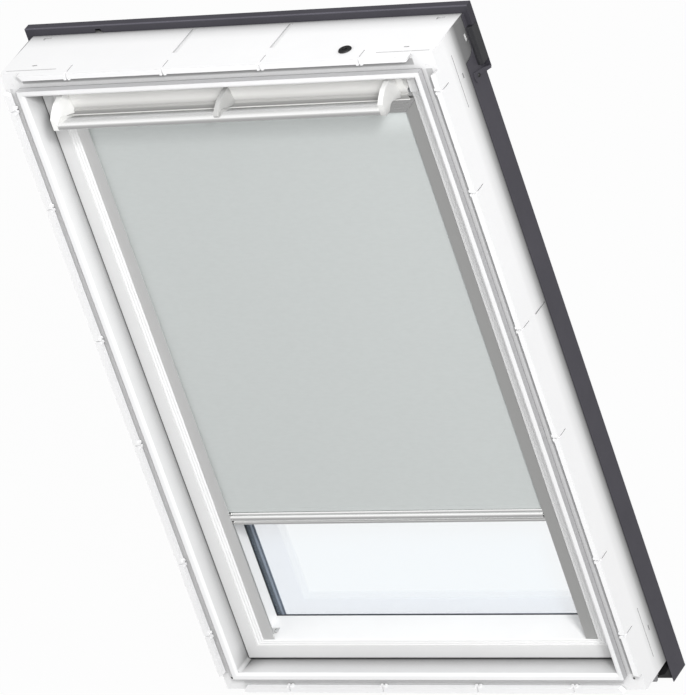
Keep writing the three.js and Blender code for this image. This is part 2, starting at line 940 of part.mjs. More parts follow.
const apronTo = frameDepth - apronBackInset;
const apronWebTo = frameDepth - apronWebBackInset;
piece(
  "apron_gasket",
  barX(
    [
      [apronFrom, -apronWebDrop],
      [apronWebTo - (apronWebTo - apronFrom) / 2, -apronTop],
      [apronTo, -apronTop],
      [apronTo, -apronBottom],
      [apronWebTo, -apronBottom],
      [apronFrom + (apronWebTo - apronFrom) / 3, -apronTop - sheet],
      [apronFrom, -apronWebDrop - 2 * sheet],
    ],
    -frameHalf,
    frameHalf,
  ),
  rubber,
);
const bulbDepth = sealFrom + sealBulbRadius;
const bulbUp = -fit - sealBulbRadius;
piece(
  "sill_seal",
  barX(
    [
      [sealTo - 2 * sealFoot, -fit],
      [bulbDepth, -fit],
      ...arc(bulbDepth, bulbUp, sealBulbRadius, 90, 360, 12),
      [bulbDepth + sealBulbRadius, -fit - sealFoot],
      [sealTo - 2 * sealFoot, -fit - sealFoot],
    ],
    -frameHalf,
    frameHalf,
    [circle(bulbDepth, bulbUp, sealBore, 12)],
  ),
  greyRubber,
);

// Sash: one ring with ridged inner edges, open at the top, parted into stiles and bottom rail.
const ridgePoints = [];
const ridgePitch = ridgeBandAcross / ridgeCount;
const ridgeCurveShares = [0, 0.08, 0.28, 0.5, 0.72, 0.92];
const ridgeLiftShares = [1, 0.35, 0.08, 0, 0.08, 0.35];
for (let n = 0; n < ridgeCount; n += 1) {
  ridgeCurveShares.forEach((share, i) => {
    ridgePoints.push([(n + share) * ridgePitch, ridgeDepth * ridgeLiftShares[i]]);
  });
}
ridgePoints.push([ridgeBandAcross, ridgeDepth]);
const sashOver = sashHigh + overcut;
const ridgeUpShare = ridgeBandUp / ridgeBandAcross;
const gasketFront = glassFront - fit - gasketThickness;
const daylightSteps = [
  [sashFront - overcut, ridgeOuter, ridgeLow, sashOver],
  [sashFront, ridgeOuter, ridgeLow, sashOver],
  ...ridgePoints.map(([inward, deep]) => [
    sashFront + deep,
    ridgeOuter - inward,
    ridgeLow + inward * ridgeUpShare,
    sashOver,
  ]),
  [gasketFront - fit, stileInner, glassLow, sashOver],
  [sashBack + overcut, stileInner, glassLow, sashOver],
];
const paneHalf = stileInner + paneEmbed;
const paneLow = glassLow - paneEmbedLow;
const paneHigh = topRailLow + paneEmbed;
const paneRoom = (grow) => [
  -paneHalf - grow,
  paneHalf + grow,
  gasketFront - fit,
  sashBack + overcut,
  paneLow - grow,
  paneHigh + grow,
];
const sashBlank = block(-sashHalf, sashHalf, sashFront, sashBack, sashLow, sashHigh);
const sashPlateThickness = hingePlateThickness;
const sashPocketInner = sashHalf - hingeBearingLength - 2 * fit;
const sashCuts = [block(...paneRoom(paneClearance))];
for (const [, side] of sides) {
  const from = side > 0 ? sashPocketInner : -sashHalf - overcut;
  const to = side > 0 ? sashHalf + overcut : -sashPocketInner;
  sashCuts.push(barX(plateOutline(fit, hingeSashPlateHeight), from, to));
}
const sashSpan = [sashFront - overcut, sashBack + overcut, sashLow - overcut, sashOver];
for (const [label, side] of sides) {
  const slab = block(side * stileInner, side * (sashHalf + overcut), ...sashSpan);
  const stile = cut(sashBlank.intersect(slab), [well(daylightSteps), ...sashCuts]);
  piece("sash_stile_" + label, stile, sashPaint);
}
const railBlank = sashBlank.intersect(block(-stileInner, stileInner, ...sashSpan));
piece("sash_bottom_rail", cut(railBlank, [widened(daylightSteps), ...sashCuts]), sashPaint);

const lockBase = topRailHigh - lockPocket;
const lockRoom = block(
  -lockWidth / 2 - fit,
  lockWidth / 2 + fit,
  lockFrom - fit,
  lockFrom + lockDepth + fit,
  lockBase,
  topRailHigh + overcut,
);
piece(
  "sash_top_rail",
  cut(
    barX(
      [
        [topRailFront, flapLow],
        [topRailStepDepth, flapLow],
        [topRailStepDepth, topRailLow],
        [gasketFront - fit, topRailLow],
        [gasketFront - fit, paneHigh + paneClearance],
        [sashBack, paneHigh + paneClearance],
        [sashBack, topRailHigh],
        [topRailFront, topRailHigh],
      ],
      -stileInner,
      stileInner,
    ),
    [lockRoom],
  ),
  sashPaint,
);

// Glazing: two panes with a spacer between them, and the gasket in front.
const paneBlock = (from) =>
  block(-paneHalf, paneHalf, from, from + paneThickness, paneLow, paneHigh);
piece("inner_pane", paneBlock(glassFront), glass);
piece("outer_pane", paneBlock(insulatedBack - fit), glass);
const loop = (half, low, high, width, from, to) =>
  barY(oblong(-half - width, half + width, low - width, high + width), from, to, [
    oblong(-half, half, low, high),
  ]);
piece(
  "pane_spacer",
  loop(
    stileInner + spacerInset,
    glassLow - spacerInsetLow,
    topRailLow + spacerInset,
    spacerWidth,
    glassFront + paneThickness + fit,
    insulatedBack - 2 * fit,
  ),
  spacerMetal,
);
piece(
  "glazing_gasket",
  loop(stileInner, glassLow, topRailLow, gasketWidth, gasketFront, glassFront - fit),
  rubber,
);
const coverFront = sashBack + fit;
const coverInnerHalf = stileInner + sashCoverOverlap;
piece(
  "sash_cladding",
  barY(
    oblong(
      sashCoverEdge - sashHalf,
      sashHalf - sashCoverEdge,
      sashLow + sashCoverEdge,
      topRailHigh - sashCoverEdge,
    ),
    coverFront,
    coverFront + sheet,
    [
      oblong(
        -coverInnerHalf,
        coverInnerHalf,
        glassLow - sashCoverLowDrop,
        topRailLow + sashCoverOverlap,
      ),
    ],
  ),
  cladding,
);

// Pivot hinges: a plate with a pin in the frame, a plate with a bearing in the sash.
for (const [label, side] of sides) {
  const frameFace = openingHalf + fit;
  const pinEnd = sashPocketInner + fit;
  const screwSpots = [-hingeScrewPitch, hingeScrewPitch].map((step) => pivotUp + step);
  const across = (from, to) =>
    side > 0 ? [Math.min(from, to), Math.max(from, to)] : [-Math.max(from, to), -Math.min(from, to)];
  const holes = (from, to, spots) =>
    spots.map((up) =>
      barX(circle(pivotDepth, up, hingeScrewRadius, boltSegments), ...across(from, to)),
    );
  const framePlate = barX(
    plateOutline(0, hingePlateHeight),
    ...across(frameFace, frameFace + hingePlateThickness),
  );
  const pin = turned(
    [
      [0, pinEnd],
      [pivotRadius - fit, pinEnd],
      [pivotRadius - fit, frameFace + hingePlateThickness / 2],
      [0, frameFace + hingePlateThickness / 2],
    ],
    axisToSide(side),
    [0, pivotDepth, pivotUp],
  );
  piece(
    "hinge_frame_" + label,
    cut(framePlate.add(pin), holes(frameFace - overcut, frameFace + overcut, screwSpots)),
    zinc,
  );
  const sashPlateOuter = sashHalf - fit;
  const sashPlate = barX(
    plateOutline(0, hingeSashPlateHeight),
    ...across(sashPlateOuter - sashPlateThickness, sashPlateOuter),
  );
  const bearing = turned(
    [
      [pivotRadius, pinEnd],
      [2 * pivotRadius, pinEnd],
      [2 * pivotRadius, sashPlateOuter],
      [pivotRadius, sashPlateOuter],
    ],
    axisToSide(side),
    [0, pivotDepth, pivotUp],
  );
  const bearingHole = barX(
    circle(pivotDepth, pivotUp, pivotRadius, roundSegments),
    ...across(sashPlateOuter - overcut, sashPlateOuter + overcut),
  );
  const farSpots = [-hingeSashScrewPitch, hingeSashScrewPitch].map((step) => pivotUp + step);
  piece(
    "hinge_sash_" + label,
    cut(sashPlate.subtract(bearingHole).add(bearing), [
      ...holes(sashPlateOuter - overcut, sashPlateOuter + overcut, farSpots),
    ]),
    zinc,
  );
}

// Air filter in the ventilation slot, with ribs along its front.
const filterFrom = sashFront + filterSetback;
const filterHeight = sashHigh - topRailHigh - filterRoom;
const filterPoints = [];
for (let i = 0; i < filterRibs; i += 1) {
  const step = filterHeight / filterRibs;
  filterPoints.push([filterFrom + ridgeDepth, topRailHigh + fit + i * step]);
  filterPoints.push([filterFrom, topRailHigh + fit + (i + ridgeCurveShares[3]) * step]);
}
piece(
  "air_filter",
  barX(
    [
      ...filterPoints,
      [filterFrom + ridgeDepth, topRailHigh + fit + filterHeight],
      [filterFrom + filterDepth, topRailHigh + fit + filterHeight],
      [filterFrom + filterDepth, topRailHigh + fit],
    ],
    fit - stileInner,
    stileInner - fit,
  ),
  greyRubber,
);

// Lock: a case sunk in the top rail, a latch that turns in it and a striker in the head.
const lockTop = sashHigh - fit;
const latchUp = topRailHigh - latchAxisDrop;
const lockBody = block(
  -lockWidth / 2,
  lockWidth / 2,
  lockFrom,
  lockFrom + lockDepth,
  lockBase + fit,
  lockTop,
);
const latchRoom = block(
  -latchWidth / 2 - fit,
  latchWidth / 2 + fit,
  lockFrom - overcut,
  lockFrom + lockDepth - lockWall,
  lockBase + fit + lockWall / 2,
  lockTop + overcut,
);
const latchHole = (radius, half) =>
  barX(circle(latchDepthAt, latchUp, radius, boltSegments), -half, half);
piece(
  "lock_case",
  cut(lockBody, [latchRoom, latchHole(latchPinRadius + fit, latchWidth / 2 + lockWall)]),
  zinc,
);
const latchPlate = barX(
  [
    ...arc(latchDepthAt, latchUp, latchBossRadius, 0, 60, 3),
    [latchDepthAt + latchNoseWidth / 2, latchUp + latchNoseReach - latchNoseWidth / 2],
    [latchDepthAt + latchNoseWidth / 4, latchUp + latchNoseReach],
    [latchDepthAt - latchNoseWidth / 2, latchUp + latchNoseReach],
    [latchDepthAt - latchNoseWidth / 2, latchUp + latchBossRadius],
    ...arc(latchDepthAt, latchUp, latchBossRadius, 120, 340, 10),
  ],
  -latchWidth / 2,
  latchWidth / 2,
);
piece(
  "lock_latch",
  latchPlate.add(latchHole(latchPinRadius, latchWidth / 2 + lockWall - fit)),
  zinc,
);
piece(
  "lock_striker",
  block(
    -strikerWidth / 2,
    strikerWidth / 2,
    strikerFrom,
    strikerFrom + strikerDepth,
    openingHigh + fit,
    openingHigh + fit + strikerThickness,
  ).subtract(
    block(
      -strikerSlotWidth / 2,
      strikerSlotWidth / 2,
      latchDepthAt - strikerSlotDepth / 2,
      latchDepthAt + strikerSlotDepth / 2,
      openingHigh - overcut,
      openingHigh + overcut,
    ),
  ),
  zinc,
);

// Ventilation flap with its control bar on three arms.
// Its front curves back towards a bead along its lower edge. The shares are of the tuck and of
// the height.
const flapFrontShares = [
  [0.48, 0.0],
  [0.26, 0.012],
  [0.2, 0.035],
  [0.24, 0.058],
  [0.45, 0.07],
  [0.96, 0.088],
  [0.92, 0.13],
  [0.78, 0.19],
  [0.58, 0.27],
  [0.38, 0.37],
  [0.2, 0.49],
  [0.08, 0.62],
  [0.0, 0.76],
];
const flapSection = (grow) => [
  ...arc(
    flapAxisDepth,
    flapAxisUp,
    flapAxisRadius,
    0,
    -90,
    filletSteps,
  ),
  ...flapFrontShares.map(([tuck, rise]) => [
    flapFront + tuck * flapTuck - grow,
    flapLow + rise * flapHeight,
  ]),
  ...arc(
    flapFront + flapTopRounding - grow,
    flapHigh - flapTopRounding,
    flapTopRounding,
    180,
    90,
    filletSteps,
  ),
  [flapBack, flapHigh],
];
const flapBlank = barX(flapSection(0), -flapHalf, flapHalf);
const flapRecess = block(
  flapEndWall - flapHalf,
  flapHalf - flapEndWall,
  flapFront + flapRecessFrom,
  flapBack + overcut,
  flapAxisUp + flapAxisRadius + fit,
  flapHigh - flapWall,
);
const flapCuts = [flapRecess];
const lugOuter = stileInner - fit;
const lugInner = lugOuter - lugLength;
for (const [, side] of sides) {
  flapCuts.push(
    block(
      side * (lugInner - fit),
      side * (flapHalf + overcut),
      flapAxisDepth - lugRoom,
      flapBack + overcut,
      flapLow - overcut,
      flapAxisUp + lugRoom,
    ),
    barX(
      circle(flapAxisDepth, flapAxisUp, lugPinRadius + fit, boltSegments),
      side > 0 ? lugInner - lugPinLength - fit : -lugInner - fit,
      side > 0 ? lugInner + fit : fit - lugInner + lugPinLength,
    ),
  );
}
piece("vent_flap", cut(flapBlank, flapCuts), cream);

for (const [label, side] of sides) {
  const near = side > 0 ? lugInner : -lugOuter;
  const lug = barX(
    [
      [topRailFront - fit, flapAxisUp - lugHalf],
      [topRailFront - fit, flapAxisUp + lugHalf],
      ...arc(flapAxisDepth, flapAxisUp, lugHalf, 90, 270, 8),
    ],
    near,
    near + lugLength,
  );
  const pinFrom = side > 0 ? lugInner - lugPinLength : -lugInner - fit;
  const pin = barX(
    circle(flapAxisDepth, flapAxisUp, lugPinRadius, boltSegments),
    pinFrom,
    pinFrom + lugPinLength + fit,
  );
  piece("flap_hinge_" + label, lug.add(pin), zinc);
}

// Outline of an end arm, in shares of its reach in front of the flap and of its height.
const armOutlineShares = [
  [0.0, 1.0],
  [0.26, 0.918],
  [0.52, 0.837],
  [0.61, 0.78],
  [0.73, 0.673],
  [0.82, 0.575],
  [0.89, 0.469],
  [0.945, 0.35],
  [1.0, 0.204],
  [1.0, 0.12],
  [0.97, 0.06],
  [0.93, 0.02],
  [0.74, 0.0],
  [0.7, 0.02],
  [0.635, 0.135],
  [0.58, 0.2],
  [0.525, 0.245],
  [0.47, 0.265],
  [0.41, 0.27],
  [0.34, 0.262],
  [0.268, 0.239],
  [0.17, 0.19],
  [0.065, 0.122],
  [0.0, 0.1],
];
const armBase = flapHigh - armHeight;
const armOutline = armOutlineShares.map(([reach, rise]) => [
  flapFront - reach * armReach,
  armBase + rise * armHeight,
]);
armOutline.push(
  [flapFront + flapTopRounding, armBase + armOutlineShares.at(-1)[1] * armHeight],
  [flapFront + flapTopRounding, flapHigh],
);
const armGap = 2 * (flapHalf - armInset);
const flapForward = barX(flapSection(fit), -flapHalf, flapHalf);
for (const [label, side] of sides) {
  const inner = armGap / 2;
  const from = side > 0 ? inner : -inner - armThickness;
  piece(
    "bar_arm_" + label,
    barX(armOutline, from, from + armThickness).subtract(flapForward),
    cream,
  );
}

// Section of the control bar, in shares of its depth behind the nose and of its height.
const barOutlineShares = [
  [0.92, 1.0],
  [0.8, 1.0],
  [0.6, 0.93],
  [0.4, 0.84],
  [0.2, 0.72],
  [0.06, 0.6],
  [0.0, 0.5],
  [-0.03, 0.36],
  [-0.05, 0.2],
  [-0.04, 0.08],
  [0.02, 0.0],
  [0.12, -0.02],
  [0.22, 0.05],
  [0.3, 0.2],
  [0.45, 0.42],
  [0.65, 0.62],
  [0.85, 0.76],
  [0.95, 0.86],
];
const controlSection = barOutlineShares.map(([back, rise]) => [
  flapFront - barReach + back * barDepth,
  flapHigh - barDrop + rise * barHeight,
]);
piece("control_bar", barX(controlSection, fit - armGap / 2, armGap / 2 - fit), satin);

const middleShares = [
  [0.0, 0.8],
  [0.34, 0.745],
  [0.55, 0.66],
  [0.68, 0.57],
  [0.8, 0.455],
  [0.86, 0.36],
  [0.84, 0.3],
  [0.7, 0.34],
  [0.52, 0.4],
  [0.4, 0.33],
  [0.25, 0.24],
  [0.065, 0.163],
  [0.0, 0.15],
];
const middleOutline = middleShares.map(([reach, rise]) => [
  flapFront - reach * armReach,
  armBase + rise * armHeight,
]);
middleOutline.push(
  [flapFront + flapTopRounding, armBase + middleShares.at(-1)[1] * armHeight],
  [flapFront + flapTopRounding, armBase + middleShares[0][1] * armHeight],
);
const middleHalf = middleArmThickness / 2;
const barGrown = [];
for (const [dy, dz] of [
  [-fit, 0],
  [fit, 0],
  [0, fit],
  [0, -fit],
  [-fit, fit],
  [fit, -fit],
]) {
  barGrown.push(barX(controlSection.map(([y, z]) => [y + dy, z + dz]), -armGap, armGap));
}
piece(
  "bar_arm_middle",
  cut(barX(middleOutline, -middleHalf, middleHalf), [flapForward, ...barGrown]),
  cream,
);

// Blind: guide channels, their feet, the casing, the roller and the fabric.
const mitreLow = casingLow - fit;
const mitreSlope = casingMitreRise / (channelOuter - channelInner);
const railTopAt = (depth) =>
  railFaceLow + ((depth - sashFront) * railSlope) / (glassFront - sashFront);
for (const [label, side] of sides) {
  const section = sided(
    [
      [channelInner, channelFront],
      [channelOuter, channelFront],
      [channelOuter, channelBack],
      [channelRearInner, channelBack],
      [channelRearInner, channelBack - channelWall],
      [channelOuter - channelWall, channelBack - channelWall],
      [channelOuter - channelWall, channelFront + channelWall],
      [channelInner, channelFront + channelWall],
    ],
    side,
  );
  const blank = barZ(section, ridgeLow, casingLow + casingMitreRise + overcut);
  const reach = side > 0 ? [0, sashHalf] : [-sashHalf, 0];
  const railWedge = barX(
    [
      [sashFront - overcut, ridgeLow - overcut],
      [channelBack + overcut, ridgeLow - overcut],
      [channelBack + overcut, railTopAt(channelBack + overcut) + fit],
      [sashFront - overcut, railTopAt(sashFront - overcut) + fit],
    ],
    ...reach,
  );
  const mitre = barY(
    sided(
      [
        [channelInner - overcut, mitreLow - overcut * mitreSlope],
        [channelOuter + overcut, mitreLow + (channelOuter + overcut - channelInner) * mitreSlope],
        [channelOuter + overcut, frameHeight],
        [channelInner - overcut, frameHeight],
      ],
      side,
    ),
    channelFront - overcut,
    channelBack + overcut,
  );
  const rearTrim = block(
    side * (channelInner - overcut),
    side * (channelOuter - channelWall),
    channelFront + 2 * channelWall,
    channelBack + overcut,
    casingLow - channelRearDrop,
    frameHeight,
  );
  piece("side_channel_" + label, cut(blank, [railWedge, mitre, rearTrim]), channelMetal);

  const footFrom = channelBack + fit;
  const footTo = footFrom + footLength;
  const footUp = railTopAt(footTo) + 3 * fit;
  const foot = barY(
    sided(
      [
        [channelInner + sheet, footUp],
        [channelOuter, footUp],
        [channelOuter, footUp + footHeight],
        [channelOuter - sheet, footUp + footHeight],
        [channelOuter - sheet, footUp + sheet],
        [channelInner + sheet, footUp + sheet],
      ],
      side,
    ),
    footFrom,
    footTo,
  );
  const footMiddle = (footFrom + footTo) / 2;
  const acrossHole = barX(
    circle(footMiddle, footUp + footHeight / 2, footHole, boltSegments),
    ...reach,
  );
  const downHole = barZ(
    circle(side * (channelInner + footHeight / 3), footMiddle, footHole, boltSegments),
    footUp - overcut,
    footUp + overcut,
  );
  piece("channel_foot_" + label, cut(foot, [acrossHole, downHole]), zinc);
}

const casingHalf = channelOuter;
const casingInnerFront = channelFront + casingWall;
const casingSection = [
  [channelFront, casingLow],
  ...arc(
    channelFront + casingEdgeRounding,
    casingFrontHigh,
    casingEdgeRounding,
    180,
    90,
    filletSteps,
  ),
  [casingStepDepth, casingFrontHigh + casingEdgeRounding],
  [casingStepDepth, casingHigh],
  [casingBack, casingHigh],
  [casingBack, casingRearLow],
  [casingBack - 3 * casingWall, casingRearLow],
  [casingBack - 3 * casingWall, casingRearLow + casingWall],
  [casingBack - casingWall, casingRearLow + casingWall],
  [casingBack - casingWall, casingHigh - casingWall],
  [casingStepDepth + casingWall, casingHigh - casingWall],
  [casingStepDepth + casingWall, casingFrontHigh - casingWall / 2],
  [casingInnerFront, casingFrontHigh - casingWall],
  [casingInnerFront, casingLow],
];
const casingCuts = [];
for (const [, side] of sides) {
  casingCuts.push(
    barY(
      sided(
        [
          [channelInner - overcut, casingLow - overcut - overcut * mitreSlope],
          [channelInner - overcut, casingLow - overcut * mitreSlope],
          [casingHalf + overcut, casingLow + (casingHalf + overcut - channelInner) * mitreSlope],
          [casingHalf + overcut, casingLow - overcut],
        ],
        side,
      ),
      channelFront - overcut,
      channelBack + overcut,
    ),
  );
}
piece(
  "blind_casing",
  cut(barX(casingSection, -casingHalf, casingHalf), casingCuts),
  satin,
);

const rollerAt = [0, rollerDepth, rollerUp];
const plateInner = casingHalf - plateInset;
const tubeHalf = plateInner - plugRoom;
const rollHalf = tubeHalf - rollMargin;
const plugPinEnd = plateInner + plugPinReach;
const tubeRadius = rollRadius - rollThickness - fit;
const sleeve = (outer, inner, half) =>
  barX(circle(rollerDepth, rollerUp, outer, roundSegments), -half, half, [
    circle(rollerDepth, rollerUp, inner, roundSegments),
  ]);
piece("roller_tube", sleeve(tubeRadius, tubeRadius - tubeWall, tubeHalf), zinc);
piece("fabric_roll", sleeve(rollRadius, rollRadius - rollThickness, rollHalf), cloth);
const plugRadius = tubeRadius - tubeWall - fit;
for (const [label, side] of sides) {
  piece(
    "roller_plug_" + label,
    turned(
      [
        [0, tubeHalf - plugLength],
        [plugRadius, tubeHalf - plugLength],
        [plugRadius, tubeHalf + fit],
        [tubeRadius, tubeHalf + fit],
        [tubeRadius, tubeHalf + fit + plugCollar],
        [plugPinRadius, tubeHalf + fit + plugCollar],
        [plugPinRadius, plugPinEnd],
        [0, plugPinEnd],
      ],
      axisToSide(side),
      rollerAt,
    ),
    rubber,
  );
  const plateOutlineHere = [
    [casingInnerFront + fit, rollerUp - plateDrop / 2],
    [rollerDepth - plateDrop, rollerUp - plateDrop],
    [casingBack - casingWall - fit, rollerUp - plateDrop + 2 * casingWall],
    [casingBack - casingWall - fit, casingHigh - casingWall - fit],
    [casingStepDepth + casingWall + fit, casingHigh - casingWall - fit],
    [casingStepDepth + casingWall + fit, rollerUp + plateDrop / 3],
    [casingInnerFront + fit, rollerUp + plateDrop / 3],
  ];
  const from = side > 0 ? plateInner : -plateInner - plateThickness;
  piece(
    "roller_bracket_" + label,
    barX(plateOutlineHere, from, from + plateThickness, [
      circle(rollerDepth, rollerUp, plugPinRadius + fit, boltSegments),
    ]),
    painted,
  );
}

const fabricDepth = channelFront + fabricSetback;
const fabricTop = rollerUp - fabricTopDrop;
const fabricBottom = fabricTop - blindDrop;
piece(
  "blind_fabric",
  block(
    -rollHalf,
    rollHalf,
    fabricDepth,
    fabricDepth + fabricThickness,
    fabricBottom,
    fabricTop,
  ),
  cloth,
);

// Section of the blind's bottom bar, in shares of its depth and of its height.
const bottomShares = [
  [1.0, 0.0],
  [1.0, 1.0],
  [0.35, 1.0],
  [0.12, 0.95],
  [0.0, 0.84],
  [0.0, 0.62],
  [0.1, 0.54],
  [0.3, 0.5],
  [0.34, 0.44],
  [0.34, 0.3],
  [0.24, 0.24],
  [0.0, 0.18],
  [0.0, 0.04],
  [0.08, 0.0],
];
const bottomBarHigh = fabricBottom - fit;
const bottomBarLow = bottomBarHigh - bottomBarHeight;
const bottomBarHalf = channelRearInner;
const shoeFront = channelFront + channelWall + shoeClearance;
const shoeBack = channelBack - channelWall - shoeClearance;
const shoeEnd = channelOuter - channelWall - 3 * fit;
const bottomSection = bottomShares.map(([deep, rise]) => [
  channelFront + bottomBarSetback + deep * bottomBarDepth,
  bottomBarLow + rise * bottomBarHeight,
]);
piece("blind_bottom_bar", barX(bottomSection, -bottomBarHalf, bottomBarHalf), satin);
for (const [label, side] of sides) {
  const from = side > 0 ? bottomBarHalf : -shoeEnd;
  piece(
    "glide_shoe_" + label,
    barX(
      roundedOblong(
        shoeFront,
        shoeBack,
        bottomBarLow + shoeRise,
        bottomBarHigh - shoeRise,
        shoeRise,
        filletSteps,
      ),
      from,
      from + shoeEnd - bottomBarHalf,
    ),
    rubber,
  );
}

export default part;
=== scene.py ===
# %% [markdown]
# # A white roof window with its grey blackout blind
# The construction comes as a finished frame of named parts, each in its real place and size.
# This lesson dresses that frame: it gives every part its finish, softens the moulded edges, and
# makes the soft blind and the small trim that the construction leaves plain.
# All lengths are in metres, X runs across the window, Y outwards and Z up along it.

import json
import math

import bmesh
import bpy
from mathutils import Matrix, Vector


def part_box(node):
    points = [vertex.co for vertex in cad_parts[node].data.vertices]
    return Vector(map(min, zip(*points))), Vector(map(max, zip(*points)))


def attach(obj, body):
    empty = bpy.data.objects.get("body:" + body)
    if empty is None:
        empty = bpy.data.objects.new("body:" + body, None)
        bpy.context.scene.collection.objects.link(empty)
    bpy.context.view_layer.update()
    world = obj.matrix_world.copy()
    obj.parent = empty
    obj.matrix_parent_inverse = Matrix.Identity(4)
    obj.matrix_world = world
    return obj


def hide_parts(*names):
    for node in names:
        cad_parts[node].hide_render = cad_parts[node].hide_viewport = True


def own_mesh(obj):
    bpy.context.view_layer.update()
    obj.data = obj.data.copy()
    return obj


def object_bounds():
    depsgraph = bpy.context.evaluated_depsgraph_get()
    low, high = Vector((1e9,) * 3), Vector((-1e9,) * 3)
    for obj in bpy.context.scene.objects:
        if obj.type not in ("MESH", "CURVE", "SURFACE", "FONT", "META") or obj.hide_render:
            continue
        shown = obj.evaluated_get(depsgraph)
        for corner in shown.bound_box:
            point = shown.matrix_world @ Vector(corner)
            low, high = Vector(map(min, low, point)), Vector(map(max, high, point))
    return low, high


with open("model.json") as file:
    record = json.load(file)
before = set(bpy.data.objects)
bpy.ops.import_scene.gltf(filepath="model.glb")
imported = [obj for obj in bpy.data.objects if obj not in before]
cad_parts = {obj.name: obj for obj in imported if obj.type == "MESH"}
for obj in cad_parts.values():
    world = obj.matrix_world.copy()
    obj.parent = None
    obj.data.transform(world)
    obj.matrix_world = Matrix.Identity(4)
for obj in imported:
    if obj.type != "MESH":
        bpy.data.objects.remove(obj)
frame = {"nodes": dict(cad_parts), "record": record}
cad_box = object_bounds()
nodes = frame["nodes"]
print(len(nodes), "parts, box", [round(v, 4) for v in (*cad_box[0], *cad_box[1])])

# %% [markdown]
# ## Camera
# The window is seen from the room, from the right and from above, through a long lens, so its
# long edges stay nearly parallel. A camera can be turned by three angles or aimed at a target.
# The target is easier to read off a picture: one rotation turns the camera's own back axis away
# from it. The picture also leans, so a roll about that axis follows.

# %% Camera
camera_at = Vector((5.67949, -8.01472, 5.72106))
looks_at = Vector((0.02733, 0.03, 0.63086))
camera_roll = math.radians(-19.40725)
focal_length = 364.65
film_width = 36
sees_from, sees_to = 0.5, 60

lens = bpy.data.cameras.new("long_lens")
lens.lens = focal_length
lens.sensor_width = film_width
lens.clip_start = sees_from
lens.clip_end = sees_to
camera = bpy.data.objects.new("camera", lens)
bpy.context.scene.collection.objects.link(camera)
aim = (looks_at - camera_at).to_track_quat("-Z", "Y").to_matrix().to_4x4()
camera.matrix_world = Matrix.Translation(camera_at) @ aim @ Matrix.Rotation(camera_roll, 4, "Z")
bpy.context.scene.camera = camera
print("camera is", round((looks_at - camera_at).length, 2), "m away")

# %% [markdown]
# ## Graphs of nodes
# Studio light and finishes are both graphs of nodes. Such a graph could be written out link by
# link, which soon gets long. These helpers each take one usual step instead: they add a node
# and fill its inputs, add a sum, rescale a value, or draw a scale of greys along it.


# %% Helpers for graphs
def fill(owner, socket, value):
    """Links an input to another node's output, or sets it to a number or colour."""
    if isinstance(value, bpy.types.NodeSocket):
        owner.node_tree.links.new(value, socket)
    else:
        socket.default_value = value


def node_of(owner, kind, **values):
    """A node of that kind, with the named inputs filled."""
    made = owner.node_tree.nodes.new(kind)
    for name, value in values.items():
        fill(owner, made.inputs[name.replace("_", " ")], value)
    return made


def maths(owner, operation, *values):
    """One sum of a graph, from outputs or numbers."""
    made = node_of(owner, "ShaderNodeMath")
    made.operation = operation
    for socket, value in zip(made.inputs, values):
        fill(owner, socket, value)
    return made.outputs[0]


def rescaled(owner, value, span, low=0.0, high=1.0):
    """A value that grows from low to high over that span, and is level beyond it."""
    made = node_of(owner, "ShaderNodeMapRange", Value=value, To_Min=low, To_Max=high)
    fill(owner, made.inputs["From Min"], span[0])
    fill(owner, made.inputs["From Max"], span[1])
    return made.outputs["Result"]


def shade_along(owner, value, stops):
    """Greys that follow a value, from a list of places and shades."""
    first, last = stops[0][0], stops[-1][0]
    ramp = node_of(owner, "ShaderNodeValToRGB", Fac=rescaled(owner, value, (first, last)))
    while len(ramp.color_ramp.elements) < len(stops):
        ramp.color_ramp.elements.new(0.5)
    for element, (place, shade) in zip(ramp.color_ramp.elements, stops):
        element.position = (place - first) / (last - first)
        element.color = (shade, shade, shade, 1)
    return ramp.outputs["Color"]


print("graph helpers ready")

# %% [markdown]
# ## Light
# Studio light for a white product has to show its edges without burning them out. One bright
# world alone would fill every groove, and lamps alone would leave hard black ones, so both are
# used: the world fills a little, more from overhead, and the lamps draw the shapes.
# To the camera and through glass the world is white. Polished metal mirrors a room instead, dark
# below and behind the window and bright above the horizon, which gives rolled edges their bands.

# %% World
scene = bpy.context.scene
scene.view_settings.view_transform = "Standard"
fill_level = 0.30
overhead_extra = 0.62
mirror_bands = [(-1.0, 0.42), (-0.2, 0.48), (0.0, 0.60), (0.32, 0.90), (0.6, 1.2), (1.0, 1.1)]
mirror_behind = 0.20
behind_between = (-0.05, 0.40)

world = bpy.data.worlds.new("studio")
scene.world = world
world.use_nodes = True
rays = node_of(world, "ShaderNodeLightPath").outputs
sky = node_of(world, "ShaderNodeTexCoord")
direction = node_of(world, "ShaderNodeSeparateXYZ", Vector=sky.outputs["Generated"]).outputs
filled = rescaled(world, direction["Z"], (0.0, 1.0), fill_level, fill_level + overhead_extra)
banded = shade_along(world, direction["Z"], mirror_bands)
behind = rescaled(world, direction["Y"], behind_between, 1.0, mirror_behind)
for_mirrors = node_of(
    world,
    "ShaderNodeMix",
    Factor=rays["Is Glossy Ray"],
    A=filled,
    B=maths(world, "MULTIPLY", banded, behind),
)
for_eyes = node_of(
    world,
    "ShaderNodeMix",
    Factor=maths(world, "MAXIMUM", rays["Is Camera Ray"], rays["Is Transmission Ray"]),
    A=for_mirrors.outputs["Result"],
    B=1.0,
)
surround = world.node_tree.nodes["Background"]
fill(world, surround.inputs["Color"], (1, 1, 1, 1))
fill(world, surround.inputs["Strength"], for_eyes.outputs["Result"])
print("fill level", fill_level, "rising to", round(fill_level + overhead_extra, 2), "overhead")

